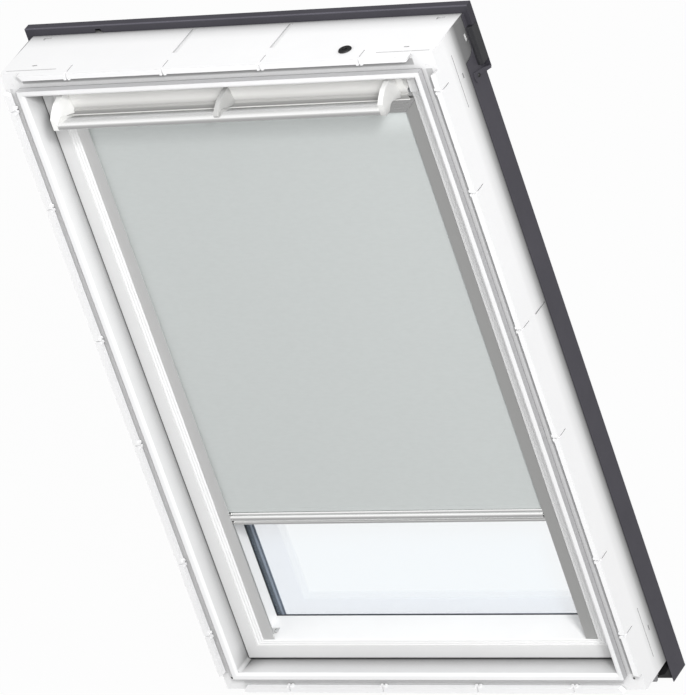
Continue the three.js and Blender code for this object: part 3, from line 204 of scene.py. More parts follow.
# %% [markdown]
# The thin dark lines beside the frame's walls tell where the main lamp stands: to the right, in
# front and above. It lights the front, the top and the right side alike, and its shadows fall
# only into the grooves. A sun would make them sharp everywhere. Here a broad area lamp keeps
# them soft, and a smaller one beside it gives them a clear core.


# %% Lamps
def soft_lamp(name, at, size, watts):
    """A square lamp that faces the middle of the window."""
    data = bpy.data.lights.new(name, "AREA")
    data.shape = "SQUARE"
    data.size = size
    data.energy = watts
    lamp = bpy.data.objects.new(name, data)
    scene.collection.objects.link(lamp)
    away = Vector(at) - looks_at
    lamp.matrix_world = Matrix.Translation(at) @ away.to_track_quat("Z", "Y").to_matrix().to_4x4()
    return lamp


for lamp in (
    soft_lamp("broad_lamp", at=(4.70, -5.19, 4.51), size=2.4, watts=355),
    soft_lamp("crisp_lamp", at=(4.77, -4.32, 5.37), size=0.9, watts=221),
):
    print(lamp.name, lamp.data.energy, "W")

# %% [markdown]
# ## Floor
# A plain pale floor lies at the window's lowest point. An ordinary white floor would look grey
# beside the white surroundings. To the camera most of this one is therefore plain white, and a
# small share of matt floor is mixed in, which lets the object's shadow show faintly. Metal
# mirrors it as a mid grey, as it would a studio floor that lies outside the light.

# %% Floor
floor_reach = 6.0
floor_matt = (0.4, 0.4, 0.4, 1)
floor_roughness = 0.9
floor_white_share = 0.97
floor_in_mirrors = 0.45

floor_mesh = bpy.data.meshes.new("floor")
shape = bmesh.new()
bmesh.ops.create_grid(shape, x_segments=1, y_segments=1, size=floor_reach)
bmesh.ops.translate(shape, verts=shape.verts, vec=(0, 0, cad_box[0].z))
shape.to_mesh(floor_mesh)
shape.free()
floor = bpy.data.objects.new("floor", floor_mesh)
scene.collection.objects.link(floor)
print("floor at", round(cad_box[0].z, 4))

# %% [markdown]
# The floor's finish picks between three shaders by the kind of ray that arrives.


# %% Floor's finish
def either_shader(material, factor, first, second):
    """The first shader where the factor is zero, the second where it is one."""
    made = node_of(material, "ShaderNodeMixShader", Fac=factor)
    fill(material, made.inputs[1], first.outputs[0])
    fill(material, made.inputs[2], second.outputs[0])
    return made


floor_white = bpy.data.materials.new("floor_white")
floor_white.use_nodes = True
matt = floor_white.node_tree.nodes["Principled BSDF"]
fill(floor_white, matt.inputs["Base Color"], floor_matt)
fill(floor_white, matt.inputs["Roughness"], floor_roughness)
glow = node_of(floor_white, "ShaderNodeEmission")
grey_glow = node_of(floor_white, "ShaderNodeEmission", Color=(*(floor_in_mirrors,) * 3, 1))
rays = node_of(floor_white, "ShaderNodeLightPath").outputs
seen = maths(floor_white, "MAXIMUM", rays["Is Camera Ray"], rays["Is Transmission Ray"])
share = maths(floor_white, "MULTIPLY", seen, floor_white_share)
lit = either_shader(floor_white, share, matt, glow)
mirrored = either_shader(floor_white, rays["Is Glossy Ray"], lit, grey_glow)
surface = floor_white.node_tree.nodes["Material Output"].inputs["Surface"]
fill(floor_white, surface, mirrored.outputs[0])
floor_mesh.materials.append(floor_white)
print("floor shows", floor_white_share, "white to the camera")

# %% [markdown]
# ## Materials
# A finish is more than a colour. Moulded white has a faint orange peel, lacquer and plated zinc
# are mottled, drawn aluminium has fine lines along its length, and cloth has a weave. A picture
# could be wrapped round each part for this, but a graph on the part's own coordinates, in
# metres, needs no unwrapping and keeps the true scale on every part. With the helpers below
# each finish reads like a recipe.


# %% Helpers for finishes
def new_finish(name, colour, roughness, metallic=0.0):
    """A material with its shader and the part's coordinates."""
    material = bpy.data.materials.new(name)
    material.use_nodes = True
    shader = material.node_tree.nodes["Principled BSDF"]
    fill(material, shader.inputs["Base Color"], (*colour, 1))
    fill(material, shader.inputs["Roughness"], roughness)
    fill(material, shader.inputs["Metallic"], metallic)
    return material, shader, node_of(material, "ShaderNodeTexCoord").outputs["Object"]


def along_axes(material, place):
    """The part's coordinates as three values, X, Y and Z."""
    return node_of(material, "ShaderNodeSeparateXYZ", Vector=place).outputs


def stretched(material, place, scale):
    """The part's coordinates, scaled by another amount along each axis."""
    turn = node_of(material, "ShaderNodeMapping", Vector=place)
    turn.inputs["Scale"].default_value = scale
    return turn.outputs["Vector"]


def noise(material, place, scale, detail=2.0):
    """Soft random clouds: a greater scale makes them smaller."""
    made = node_of(material, "ShaderNodeTexNoise", Vector=place, Scale=scale, Detail=detail)
    return made.outputs["Fac"]


def tinted(colour, factor):
    """The colour, times that factor, and no lighter than white."""
    return tuple(min(1.0, c * factor) for c in colour)


print("finish and pattern ready")

# %% [markdown]
# Three things vary over a real surface: its colour, its gloss and its relief. Each gets a helper
# that lets one of them wander with a pattern. The steps are small, because strong ones read as
# dirt.


# %% Helpers for colour, gloss and relief
def shades(material, shader, factor, dark, light):
    """Colour that wanders between two shades."""
    ramp = node_of(material, "ShaderNodeValToRGB", Fac=factor)
    for element, colour, position in zip(ramp.color_ramp.elements, (dark, light), (0.3, 0.7)):
        element.color = (*colour, 1)
        element.position = position
    fill(material, shader.inputs["Base Color"], ramp.outputs["Color"])
    return ramp.outputs["Color"]


def gloss_between(material, shader, factor, low, high):
    """Roughness that wanders between two values."""
    fill(material, shader.inputs["Roughness"], rescaled(material, factor, (0.0, 1.0), low, high))


def bumps(material, shader, height, depth, strength):
    """Small relief of that depth, in metres."""
    relief = node_of(material, "ShaderNodeBump", Height=height, Distance=depth, Strength=strength)
    fill(material, shader.inputs["Normal"], relief.outputs["Normal"])


print("colour, gloss and relief ready")

# %% [markdown]
# Shade that always lies in the same place, such as on the floor of a groove, can be part of the
# finish. It could be painted on a picture of the surface. Here a mask picks the place instead:
# a sum that gives one where a coordinate lies within its limits, and zero elsewhere.
# Where surfaces close in on each other, the ambient occlusion node measures by how much.


# %% Helpers for shade by place
recess_samples = 8


def above(material, value, limit):
    """One where the value is greater than the limit."""
    return maths(material, "GREATER_THAN", value, limit)


def below(material, value, limit):
    """One where the value is less than the limit."""
    return maths(material, "LESS_THAN", value, limit)


def around(material, value, middle, half):
    """One where the value is no further than a half width from the middle."""
    return maths(material, "COMPARE", value, middle, half)


def outside(material, mask):
    """One where the mask is zero."""
    return maths(material, "SUBTRACT", 1.0, mask)


def all_of(material, *masks):
    """One where every mask is one."""
    joined = masks[0]
    for mask in masks[1:]:
        joined = maths(material, "MULTIPLY", joined, mask)
    return joined


def mixed(material, amount, first, second, blend="MIX"):
    """Two colours, mixed by that amount."""
    made = node_of(material, "ShaderNodeMix")
    made.data_type = "RGBA"
    made.blend_type = blend
    for place, value in ((0, amount), (6, first), (7, second)):
        fill(material, made.inputs[place], value)
    return made.outputs[2]


def multiplied(material, colour, shade, amount=1.0):
    """The colour, made darker by the shade where the amount is one."""
    return mixed(material, amount, colour, shade, "MULTIPLY")


def darker_in_recesses(material, shader, colour, reach, amount):
    """Painted shade: darker where other surfaces close in within that reach."""
    closed = node_of(material, "ShaderNodeAmbientOcclusion", Color=colour, Distance=reach)
    closed.samples = recess_samples
    dust_and_shade = mixed(material, amount, colour, closed.outputs["Color"])
    fill(material, shader.inputs["Base Color"], dust_and_shade)


print("masks ready")

# %% [markdown]
# ### Moulded white, for the frame, the sash and the flap
# The members are foamed and moulded in white plastic. Close up, the surface has a very fine
# peel and tiny differences of shade and gloss where it was trimmed. All whites share this
# recipe, and differ in their tone, their gloss and the places where shade is painted on them.
# The left arm catches the most light and needs only a little painted shade in its recesses.


# %% Moulded white
cloud_scale = 9.0
rubbed_scale = 40.0
peel_scale = 900.0
peel_depth = 0.00002
white_step = 0.01


def moulded(name, colour, roughness, gloss, peel, specular, clouds=None):
    """A moulded finish: its material, shader, three coordinates and plain colour."""
    if clouds is None:
        clouds = ([c - white_step for c in colour], [c + white_step for c in colour])
    material, shader, place = new_finish(name, colour, roughness)
    cloudy = noise(material, place, cloud_scale, detail=3.0)
    plain = shades(material, shader, cloudy, *clouds)
    gloss_between(material, shader, noise(material, place, rubbed_scale), *gloss)
    bumps(material, shader, noise(material, place, peel_scale), peel_depth, peel)
    shader.inputs["Specular IOR Level"].default_value = specular
    return material, shader, along_axes(material, place), plain


arm_colour = (0.92, 0.92, 0.905)
arm_clouds = (tinted(arm_colour, 0.988), tinted(arm_colour, 1.01))
arm_recess_reach = 0.03
arm_recess = 0.2
arm_white, shader, _, plain = moulded(
    "moulded_arm_white",
    arm_colour,
    roughness=0.34,
    gloss=(0.29, 0.41),
    peel=0.35,
    specular=0.45,
    clouds=arm_clouds,
)
darker_in_recesses(arm_white, shader, plain, arm_recess_reach, arm_recess)
print("white wanders by", white_step)

# %% [markdown]
# The middle and the right arm turn their broad side to the room's darker half. Lamps that light
# the left arm well leave them too bright, so shade is painted into their white, more so towards
# the tip and most on the middle arm.

# %% Arm white with painted shade
arm_shade = [(1.0935, 0.52), (1.105, 0.78), (1.120, 0.82), (1.137, 0.82)]
middle_arm_shade = (0.66, 0.66, 0.66, 1)
middle_arm_half = 0.010

painted_shade_arm_white, shader, at, plain = moulded(
    "moulded_arm_white_greyer",
    arm_colour,
    roughness=0.34,
    gloss=(0.30, 0.40),
    peel=0.3,
    specular=0.5,
)
along_arm = shade_along(painted_shade_arm_white, at["Z"], arm_shade)
shaded = multiplied(painted_shade_arm_white, plain, along_arm)
in_middle = around(painted_shade_arm_white, at["X"], 0.0, middle_arm_half)
shaded = multiplied(painted_shade_arm_white, shaded, middle_arm_shade, in_middle)
fill(painted_shade_arm_white, shader.inputs["Base Color"], shaded)
print("greyer arm white in", len(arm_shade), "steps")

# %% [markdown]
# Shade is painted into the frame's white by place, in four steps. First come its outer side and
# top faces: towards the dark sheets, which shade them, they are painted darker step by step.

# %% Frame white and its outer faces
outer_face = 0.3885
top_face = 1.1765
side_shade = [
    (0.026, 1.0),
    (0.034, 0.93),
    (0.042, 0.87),
    (0.050, 0.73),
    (0.054, 0.62),
    (0.058, 0.47),
    (0.0697, 0.2),
]
top_shade = [(0.070, 1.0), (0.086, 0.94), (0.094, 0.88), (0.100, 0.85), (0.105, 0.60)]

frame_white, shader, at, plain = moulded(
    "moulded_frame_white",
    colour=(0.90, 0.90, 0.905),
    roughness=0.42,
    gloss=(0.37, 0.49),
    peel=0.35,
    specular=0.45,
)
across = maths(frame_white, "ABSOLUTE", at["X"])
shaded = plain
for stops, face in (
    (side_shade, above(frame_white, across, outer_face)),
    (top_shade, above(frame_white, at["Z"], top_face)),
):
    shaded = multiplied(frame_white, shaded, shade_along(frame_white, at["Y"], stops), face)
print("outer faces in", len(side_shade), "and", len(top_shade), "steps")

# %% [markdown]
# Next are the inner faces of the opening, past the lip. Less light reaches them further down, so
# painted shade darkens them there.

# %% Opening's inner faces
window_middle = 0.589
opening_halves = (0.355, 0.555)
opening_from = -0.0175
opening_shade = [(0.03, 0.74), (0.05, 0.79), (0.60, 0.82), (1.10, 0.92)]

in_opening = all_of(
    frame_white,
    below(frame_white, across, opening_halves[0]),
    around(frame_white, at["Z"], window_middle, opening_halves[1]),
)
past_lip = all_of(frame_white, in_opening, above(frame_white, at["Y"], opening_from))
lower_inside = shade_along(frame_white, at["Z"], opening_shade)
shaded = multiplied(frame_white, shaded, lower_inside, past_lip)
print("opening shaded over", opening_shade[-1][0] - opening_shade[0][0], "m")

# %% [markdown]
# The floor of the lining groove lies in the shadow of its walls, and that shadow is painted in.
# Each side gets its own scale of painted greys across the groove, because the light comes over
# another wall there.

# %% Groove's floor
groove_floor = -0.0105
floor_middle_above = 0.0006
floor_within = 0.0008
wall_insides = (0.3815, 0.5806)
wall_end = 0.353
wall_end_low = 0.031
top_groove = [
    (1.1505, 0.82),
    (1.1525, 0.97),
    (1.157, 0.95),
    (1.158, 0.80),
    (1.1595, 0.54),
    (1.169, 0.52),
]
right_groove = [(0.363, 0.91), (0.3695, 0.93), (0.371, 0.66), (0.381, 0.66)]
left_groove = [(-0.381, 0.76), (-0.378, 0.80), (-0.375, 0.97), (-0.363, 1.0)]
low_groove = [(0.010, 1.0), (0.0115, 0.84), (0.0145, 0.80), (0.0165, 1.0), (0.027, 1.0)]

in_groove = all_of(
    frame_white,
    around(frame_white, at["Y"], groove_floor + floor_middle_above, floor_within),
    outside(frame_white, in_opening),
    below(frame_white, across, wall_insides[0]),
    around(frame_white, at["Z"], window_middle, wall_insides[1]),
)
at_top = above(frame_white, at["Z"], top_groove[0][0])
at_right = above(frame_white, at["X"], right_groove[0][0])
at_left = below(frame_white, at["X"], left_groove[-1][0])
at_bottom = below(frame_white, at["Z"], low_groove[-1][0])
between_walls = below(frame_white, across, wall_end)
beside = all_of(
    frame_white,
    outside(frame_white, at_top),
    above(frame_white, at["Z"], wall_end_low),
)
for stops, axis, first, second in (
    (top_groove, "Z", at_top, between_walls),
    (right_groove, "X", at_right, beside),
    (left_groove, "X", at_left, beside),
    (low_groove, "Z", at_bottom, between_walls),
):
    where = all_of(frame_white, in_groove, first, second)
    shaded = multiplied(frame_white, shaded, shade_along(frame_white, at[axis], stops), where)
print("groove shaded on four sides")

# %% [markdown]
# The lip's right and upper sides drop into that groove and get the darkest painted shade of all.
# Its front is painted a touch greyer at the right and at the top. Last comes painted shade in the
# recesses, where other surfaces close in.

# %% Lip and recesses
lip_sides = (0.363, 1.151)
lip_side_within = 0.0003
lip_outside = (0.3634, 0.5624)
lip_front = -0.0212
lip_back = -0.0097
greyer_front_from = (0.35, 1.139)
right_side_shade = (0.53, 0.53, 0.535, 1)
upper_side_shade = (0.58, 0.58, 0.585, 1)
front_shade = (0.96, 0.96, 0.96, 1)
frame_front = -0.0219
recess_shade_full_from = 0.01
front_recess = 0.35
floor_recess = 0.8
frame_recess_reach = 0.04

on_lip = all_of(
    frame_white,
    below(frame_white, across, lip_outside[0]),
    around(frame_white, at["Z"], window_middle, lip_outside[1]),
    below(frame_white, at["Y"], lip_back),
)
on_right_side = around(frame_white, at["X"], lip_sides[0], lip_side_within)
on_upper_side = around(frame_white, at["Z"], lip_sides[1], lip_side_within)
on_front = below(frame_white, at["Y"], lip_front)
upper_or_right = maths(
    frame_white,
    "MAXIMUM",
    above(frame_white, at["X"], greyer_front_from[0]),
    above(frame_white, at["Z"], greyer_front_from[1]),
)
for shade, first, second in (
    (right_side_shade, on_right_side, on_lip),
    (upper_side_shade, on_upper_side, on_lip),
    (front_shade, on_front, upper_or_right),
):
    shaded = multiplied(frame_white, shaded, shade, all_of(frame_white, first, second))

# Painted shade in the recesses: ambient occlusion darkens the opening's faces towards the back
# and the groove's floor.
deeper = rescaled(frame_white, at["Y"], (frame_front, recess_shade_full_from), front_recess)
on_floor = above(frame_white, at["Y"], groove_floor)
recess_shade_amount = maths(
    frame_white,
    "ADD",
    all_of(frame_white, in_opening, deeper),
    all_of(frame_white, outside(frame_white, in_opening), on_floor, floor_recess),
)
darker_in_recesses(frame_white, shader, shaded, frame_recess_reach, recess_shade_amount)
print("frame white has", len(frame_white.node_tree.nodes), "nodes")

# %% [markdown]
# The sash's flat rims turn their face to the room, where less light comes from than from above.
# The left and the lower rim are therefore painted a little greyer than the slopes and the right
# rim, and more painted shade gathers in the recesses beside them.

# %% Sash white
rim_from = -0.327
rim_below = 0.063
rim_shade = (0.89, 0.89, 0.89, 1)
slope_recess = 0.08
rim_recess = 0.35
sash_recess_reach = 0.10

sash_white, shader, at, plain = moulded(
    "moulded_sash_white",
    colour=(0.905, 0.905, 0.905),
    roughness=0.36,
    gloss=(0.31, 0.43),
    peel=0.35,
    specular=0.45,
)
on_rim = maths(
    sash_white,
    "MAXIMUM",
    below(sash_white, at["X"], rim_from),
    below(sash_white, at["Z"], rim_below),
)
shaded = multiplied(sash_white, plain, rim_shade, on_rim)
near_rim = rescaled(sash_white, on_rim, (0.0, 1.0), slope_recess, rim_recess)
darker_in_recesses(sash_white, shader, shaded, sash_recess_reach, near_rim)
print("sash white")

# %% [markdown]
# The ventilation flap curves back towards its lower edge, where a bright bead closes it. The
# curve turns away from the light, so shade is painted into its cream, darker downwards to the
# bead.

# %% Flap cream
flap_shade = [
    (1.0884, 0.34),
    (1.094, 0.42),
    (1.098, 0.52),
    (1.102, 0.78),
    (1.108, 0.92),
    (1.125, 1.0),
]
bead_high = 1.0883

flap_cream, shader, at, plain = moulded(
    "moulded_cream",
    colour=(0.87, 0.865, 0.845),
    roughness=0.34,
    gloss=(0.30, 0.40),
    peel=0.3,
    specular=0.5,
)
along_flap = shade_along(flap_cream, at["Z"], flap_shade)
above_bead = above(flap_cream, at["Z"], bead_high)
shaded = multiplied(flap_cream, plain, along_flap, above_bead)
fill(flap_cream, shader.inputs["Base Color"], shaded)
print("flap cream in", len(flap_shade), "steps")

# %% [markdown]
# ### Dark lacquer, for the cladding outside
# The weather sheets are folded aluminium in a matt dark grey lacquer. It is even in colour, with
# a fine grain that breaks up its reflection, so a little noise does for all three patterns.
# The hood is darker than the other sheets. Its top is painted lighter, where light from above
# falls on it, and its upper front edge carries a painted highlight, which shows as a light line.


# %% Dark lacquer
def lacquered(name, colour):
    """A lacquer: its material, shader, three coordinates and plain colour."""
    material, shader, place = new_finish(name, colour, roughness=0.52, metallic=0.15)
    mottle = noise(material, place, scale=14.0, detail=4.0)
    plain = shades(material, shader, mottle, tinted(colour, 0.94), tinted(colour, 1.06))
    gloss_between(material, shader, noise(material, place, scale=60.0), 0.44, 0.58)
    grain = noise(material, place, scale=2400.0)
    bumps(material, shader, grain, depth=0.00003, strength=0.4)
    shader.inputs["Specular IOR Level"].default_value = 0.3
    return material, shader, along_axes(material, place), plain


cladding_grey = lacquered("matt_grey_lacquer", (0.070, 0.067, 0.080))[0]
bracket_white = lacquered("bracket_white", (0.86, 0.86, 0.86))[0]

hood_top = 1.1912
hood_edge = (1.1898, 0.1070)
painted_top_light = (1.42, 1.42, 1.42, 1)
painted_edge_highlight = (1.9, 1.9, 1.9, 1)
hood_grey, shader, at, plain = lacquered("matt_grey_hood_lacquer", (0.048, 0.046, 0.056))
on_edge = all_of(
    hood_grey,
    above(hood_grey, at["Z"], hood_edge[0]),
    below(hood_grey, at["Y"], hood_edge[1]),
)
# Painted light: a lighter top face and a bright line along the upper front edge.
lighter = multiplied(hood_grey, plain, painted_top_light, above(hood_grey, at["Z"], hood_top))
lighter = multiplied(hood_grey, lighter, painted_edge_highlight, on_edge)
fill(hood_grey, shader.inputs["Base Color"], lighter)
print("three lacquers")

# %% [markdown]
# ### Rubber
# Seals are extruded rubber: matt, a little dusty and never quite even. The same recipe with
# less roughness gives the black plastic of the hood's ends.


# %% Rubber
def rubbery(name, colour, roughness):
    """Rubber or plastic, dusted unevenly in its colour and its gloss."""
    material, shader, place = new_finish(name, colour, roughness)
    dust_and_shade = noise(material, place, scale=55.0, detail=4.0)
    shades(material, shader, dust_and_shade, tinted(colour, 0.9), tinted(colour, 1.1))
    rubbed = noise(material, place, scale=130.0)
    gloss_between(material, shader, rubbed, roughness - 0.1, roughness + 0.1)
    bumps(material, shader, noise(material, place, scale=1500.0), depth=0.00003, strength=0.5)
    return material


black_rubber = rubbery("black_rubber", (0.012, 0.012, 0.013), 0.6)
grey_rubber = rubbery("grey_rubber", (0.26, 0.26, 0.27), 0.7)
hood_end_black = rubbery("glossy_black_plastic", (0.022, 0.022, 0.025), 0.18)
print("two rubbers and one black plastic")

# %% [markdown]
# ### Drawn aluminium
# The blind's casing and bars and the side channels are drawn through a die and anodised, so
# fine lines run along them. A wave would draw lines of one width. Noise that is squeezed to a
# hundredth along the part draws uneven ones, as a die does.


# %% Drawn aluminium
squeezed = 0.01
line_scale = 3600.0


def drawn(name, colour, roughness, lines_along, metallic=1.0):
    """Aluminium with fine lines along one axis."""
    material, shader, place = new_finish(name, colour, roughness, metallic)
    squeeze = [squeezed if axis == lines_along else 1.0 for axis in "XYZ"]
    streaks = noise(material, stretched(material, place, squeeze), line_scale)
    shades(material, shader, streaks, tinted(colour, 0.98), tinted(colour, 1.015))
    gloss_between(material, shader, streaks, roughness - 0.05, roughness + 0.08)
    bumps(material, shader, streaks, depth=0.000003, strength=0.15)
    return material


satin_aluminium = drawn("satin_aluminium", (0.84, 0.84, 0.835), 0.22, "X")
channel_aluminium = drawn("channel_aluminium", (0.70, 0.70, 0.69), 0.36, "Z")
casing_aluminium = drawn("casing_aluminium", (0.71, 0.71, 0.705), 0.24, "X")
# The left channel's lighter copy is painted light, not a different metal.
light_channel_aluminium = drawn("light_channel_aluminium", (0.88, 0.88, 0.875), 0.36, "Z", 0.88)
print("four drawn aluminiums")

# %% [markdown]
# ### Plated steel and spacer metal
# Hinges and lock are zinc plated, with the soft crystal clouds that plating shows. Plain noise
# would look like dirt; a Voronoi pattern has such cells.

# %% Plated steel
zinc_steel, shader, place = new_finish("zinc_plated", (0.62, 0.63, 0.65), 0.32, metallic=1.0)
cells = node_of(zinc_steel, "ShaderNodeTexVoronoi", Vector=place, Scale=160.0)
shades(zinc_steel, shader, cells.outputs["Distance"], (0.50, 0.51, 0.53), (0.70, 0.71, 0.73))
gloss_between(zinc_steel, shader, noise(zinc_steel, place, scale=220.0), 0.26, 0.42)
bumps(zinc_steel, shader, noise(zinc_steel, place, scale=900.0), depth=0.00002, strength=0.3)
print("plated steel")

# %% [markdown]
# The spacer between the panes is a matt blue grey strip with rows of tiny vent holes, which
# finer cells give, and dark sealant along its outer edge.

# %% Spacer strip
spacer_shade = [(0.0874, 0.04), (0.0955, 0.04), (0.0965, 0.45), (0.0985, 0.75), (0.1025, 1.0)]

spacer_metal, shader, place = new_finish("spacer_strip", (0.33, 0.36, 0.42), 0.5, metallic=0.4)
grains = noise(spacer_metal, place, scale=300.0)
plain = shades(spacer_metal, shader, grains, (0.31, 0.34, 0.40), (0.35, 0.38, 0.44))
at = along_axes(spacer_metal, place)
sealed = multiplied(spacer_metal, plain, shade_along(spacer_metal, at["Y"], spacer_shade))
fill(spacer_metal, shader.inputs["Base Color"], sealed)
dots = node_of(spacer_metal, "ShaderNodeTexVoronoi", Vector=place, Scale=420.0)
bumps(spacer_metal, shader, dots.outputs["Distance"], depth=0.0001, strength=0.4)
print("spacer strip with sealant")

# %% [markdown]
# ### Glass
# Clear panes show mostly what is behind them. Full refraction would be slow and would darken the
# white behind, so a low alpha lets the light straight through, and a trace of pale blue is left
# in the rest. Along its left and lower edges a painted reflection of the sash's white reveal
# reads as a slightly duller band.

# %% Glass
band_left = -0.251
band_up = 0.113
band_blur = 0.0006
spacer_seen_to = -0.3120
band_colour = (0.56, 0.68, 0.83)
pane_colour = (0.35, 0.71, 0.93)
band_alpha, pane_alpha = 0.085, 0.025
alpha_over_spacer = 0.05

clear_glass, shader, place = new_finish("clear_glass", pane_colour, 0.03)
gloss_between(clear_glass, shader, noise(clear_glass, place, scale=5.0), 0.02, 0.05)
shader.inputs["Specular IOR Level"].default_value = 0.15
at = along_axes(clear_glass, place)
# Painted reflection: along the left and lower edges the pane is duller and less clear, for the
# sash's white reveal mirrored there.
past_left = (band_left - band_blur, band_left + band_blur)
past_low = (band_up - band_blur, band_up + band_blur)
clear = maths(
    clear_glass,
    "MINIMUM",
    rescaled(clear_glass, at["X"], past_left),
    rescaled(clear_glass, at["Z"], past_low),
)
ramp = node_of(clear_glass, "ShaderNodeValToRGB", Fac=clear)
ramp.color_ramp.elements[0].color = (*band_colour, 1)
ramp.color_ramp.elements[1].color = (*pane_colour, 1)
fill(clear_glass, shader.inputs["Base Color"], ramp.outputs["Color"])
alpha = rescaled(clear_glass, clear, (0.0, 1.0), band_alpha, pane_alpha)
past_spacer = above(clear_glass, at["X"], spacer_seen_to)
held = maths(clear_glass, "MAXIMUM", past_spacer, alpha_over_spacer)
fill(clear_glass, shader.inputs["Alpha"], maths(clear_glass, "MULTIPLY", alpha, held))
print("clear glass, alpha", pane_alpha)

# %% [markdown]
# ### Blackout cloth
# Blackout cloth is a tight, smooth weave with a coating behind it. Threads could be modelled
# one by one, but there are thousands. Two sets of waves at right angles, one for each set of
# threads, give the relief of the weave. At arm's length the cloth reads as one even, dull light
# grey. Near its top, where the control bar casts a soft shadow, light is painted into its
# colour: it is made up to a fifth lighter there, which offsets most of that shadow.

# %% Blackout cloth
thread_pitch = 0.0005
cloth_colour = (0.536, 0.562, 0.556)
painted_light_at_top = 1.2
by_height = [(1.000, 0.833), (1.010, 0.84), (1.020, 0.88), (1.030, 0.95), (1.040, 1.0)]
slub_stretch = (0.3, 1.0, 1.0)

blackout_cloth, shader, place = new_finish("blackout_cloth", cloth_colour, 0.8)
threads = []
for direction in ("X", "Z"):
    wave = node_of(
        blackout_cloth,
        "ShaderNodeTexWave",
        Vector=place,
        Scale=math.pi / (10 * thread_pitch),
        Distortion=0.15,
        Detail=1.0,
    )
    wave.bands_direction = direction
    threads.append(wave.outputs["Fac"])
weave = maths(blackout_cloth, "MAXIMUM", *threads)
bumps(blackout_cloth, shader, weave, depth=0.00003, strength=0.25)
slubs = noise(blackout_cloth, stretched(blackout_cloth, place, slub_stretch), scale=240.0)
# Painted light: the colour is lifted by up to a fifth near the top, against the control bar's
# shadow.
lightest = tinted(cloth_colour, painted_light_at_top)
plain = shades(blackout_cloth, shader, slubs, tinted(lightest, 0.985), tinted(lightest, 1.012))
less_light = shade_along(blackout_cloth, along_axes(blackout_cloth, place)["Z"], by_height)
evened = multiplied(blackout_cloth, plain, less_light)
fill(blackout_cloth, shader.inputs["Base Color"], evened)
shader.inputs["Specular IOR Level"].default_value = 0.2
print("cloth with", round(0.001 / thread_pitch), "threads to the millimetre")

# %% [markdown]
# ## Dressing the construction's parts
# Every part names the finish it has in the record, so one table from those names to materials
# dresses them all.

# %% Finishes by name
finish_of = {
    "frame_white": frame_white,
    "sash_white": sash_white,
    "flap_cream": flap_cream,
    "cladding_grey": cladding_grey,
    "black_rubber": black_rubber,
    "grey_rubber": grey_rubber,
    "satin_aluminium": satin_aluminium,
    "channel_aluminium": channel_aluminium,
    "blackout_fabric": blackout_cloth,
    "spacer_metal": spacer_metal,
    "clear_glass": clear_glass,
    "zinc_steel": zinc_steel,
    "bracket_white": bracket_white,
}
slot_of = {part["node"]: part["material_slot"] for part in frame["record"]["subparts"]}
for name, part in nodes.items():
    part.data.materials.clear()
    part.data.materials.append(finish_of[slot_of[name]])
print(len(slot_of), "parts dressed")

# %% [markdown]
# A second, short table holds the parts that differ. The ends of the hood share a slot with the
# seals but are harder and glossier. The left channel gets a lighter copy of the channel's
# aluminium: painted light for the brighter reflection it shows.

# %% Finishes of single parts
special_finish = {
    "hood_end_left": hood_end_black,
    "hood_end_right": hood_end_black,
    "clip_screw_left": black_rubber,
    "clip_screw_right": black_rubber,
    "side_channel_left": light_channel_aluminium,
    "blind_casing": casing_aluminium,
    "glide_shoe_left": grey_rubber,
    "glide_shoe_right": grey_rubber,
    "channel_foot_left": channel_aluminium,
    "channel_foot_right": channel_aluminium,
    "top_hood": hood_grey,
    "bar_arm_left": arm_white,
    "bar_arm_right": painted_shade_arm_white,
    "bar_arm_middle": painted_shade_arm_white,
}
for name, finish in special_finish.items():
    nodes[name].data.materials[0] = finish
print(len(special_finish), "parts with a finish of their own")

# %% [markdown]
# ## The blind's cloth
# The cloth hangs from its roller to the bottom bar. When the bar moves, the real cloth winds up.
# Here two flat layers stand in for it. One hangs from the roller and rides the sash. A second
# one, hidden just behind it, rides the bottom bar.
# The cloth is held taut between its channels, so a thin flat sheet is its real shape, and no
# simulation is needed.

# %% Two layers of cloth
cloth_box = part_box("blind_fabric")
cloth_low, cloth_high = cloth_box[0].z, cloth_box[1].z
cloth_drop = cloth_high - cloth_low
cloth_half = cloth_box[1].x
cloth_thickness = 0.0003
cells_across, cells_up = 24, 30
second_layer_behind = 0.0006


def cloth_layer(name, front):
    """A thin sheet of cloth with its front at that depth."""
    mesh = bpy.data.meshes.new(name)
    sheet = bmesh.new()
    bmesh.ops.create_grid(sheet, x_segments=cells_across, y_segments=cells_up, size=0.5)
    bmesh.ops.scale(sheet, verts=sheet.verts, vec=(2 * cloth_half, cloth_drop, 1))
    bmesh.ops.rotate(sheet, verts=sheet.verts, matrix=Matrix.Rotation(math.radians(90), 3, "X"))
    bmesh.ops.translate(sheet, verts=sheet.verts, vec=(0, front, (cloth_low + cloth_high) / 2))
    back = bmesh.ops.extrude_face_region(sheet, geom=sheet.faces[:])
    moved = [item for item in back["geom"] if isinstance(item, bmesh.types.BMVert)]
    bmesh.ops.translate(sheet, verts=moved, vec=(0, cloth_thickness, 0))
    bmesh.ops.recalc_face_normals(sheet, faces=sheet.faces)
    sheet.to_mesh(mesh)
    sheet.free()
    mesh.materials.append(blackout_cloth)
    piece = bpy.data.objects.new(name, mesh)
    scene.collection.objects.link(piece)
    return piece


cloth_front = cloth_layer("cloth_from_roller", cloth_box[0].y)
cloth_behind = cloth_layer("cloth_from_bar", cloth_box[0].y + second_layer_behind)
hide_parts("blind_fabric")
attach(cloth_front, "sash")
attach(cloth_behind, "blind_bar")
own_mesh(cloth_front)
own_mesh(cloth_behind)

# %% [markdown]
# The lower edge of the cloth is folded into a narrow hem above the bar. The fold could be rolled
# from the sheet itself, but it moves with the bar and so is a piece of its own: a low bar, made
# from a cube whose long edges are bevelled round.

# %% Hem
hem_height = 0.007
hem_proud = 0.0005
hem_gap = 0.0001
hem_rounding = 0.4

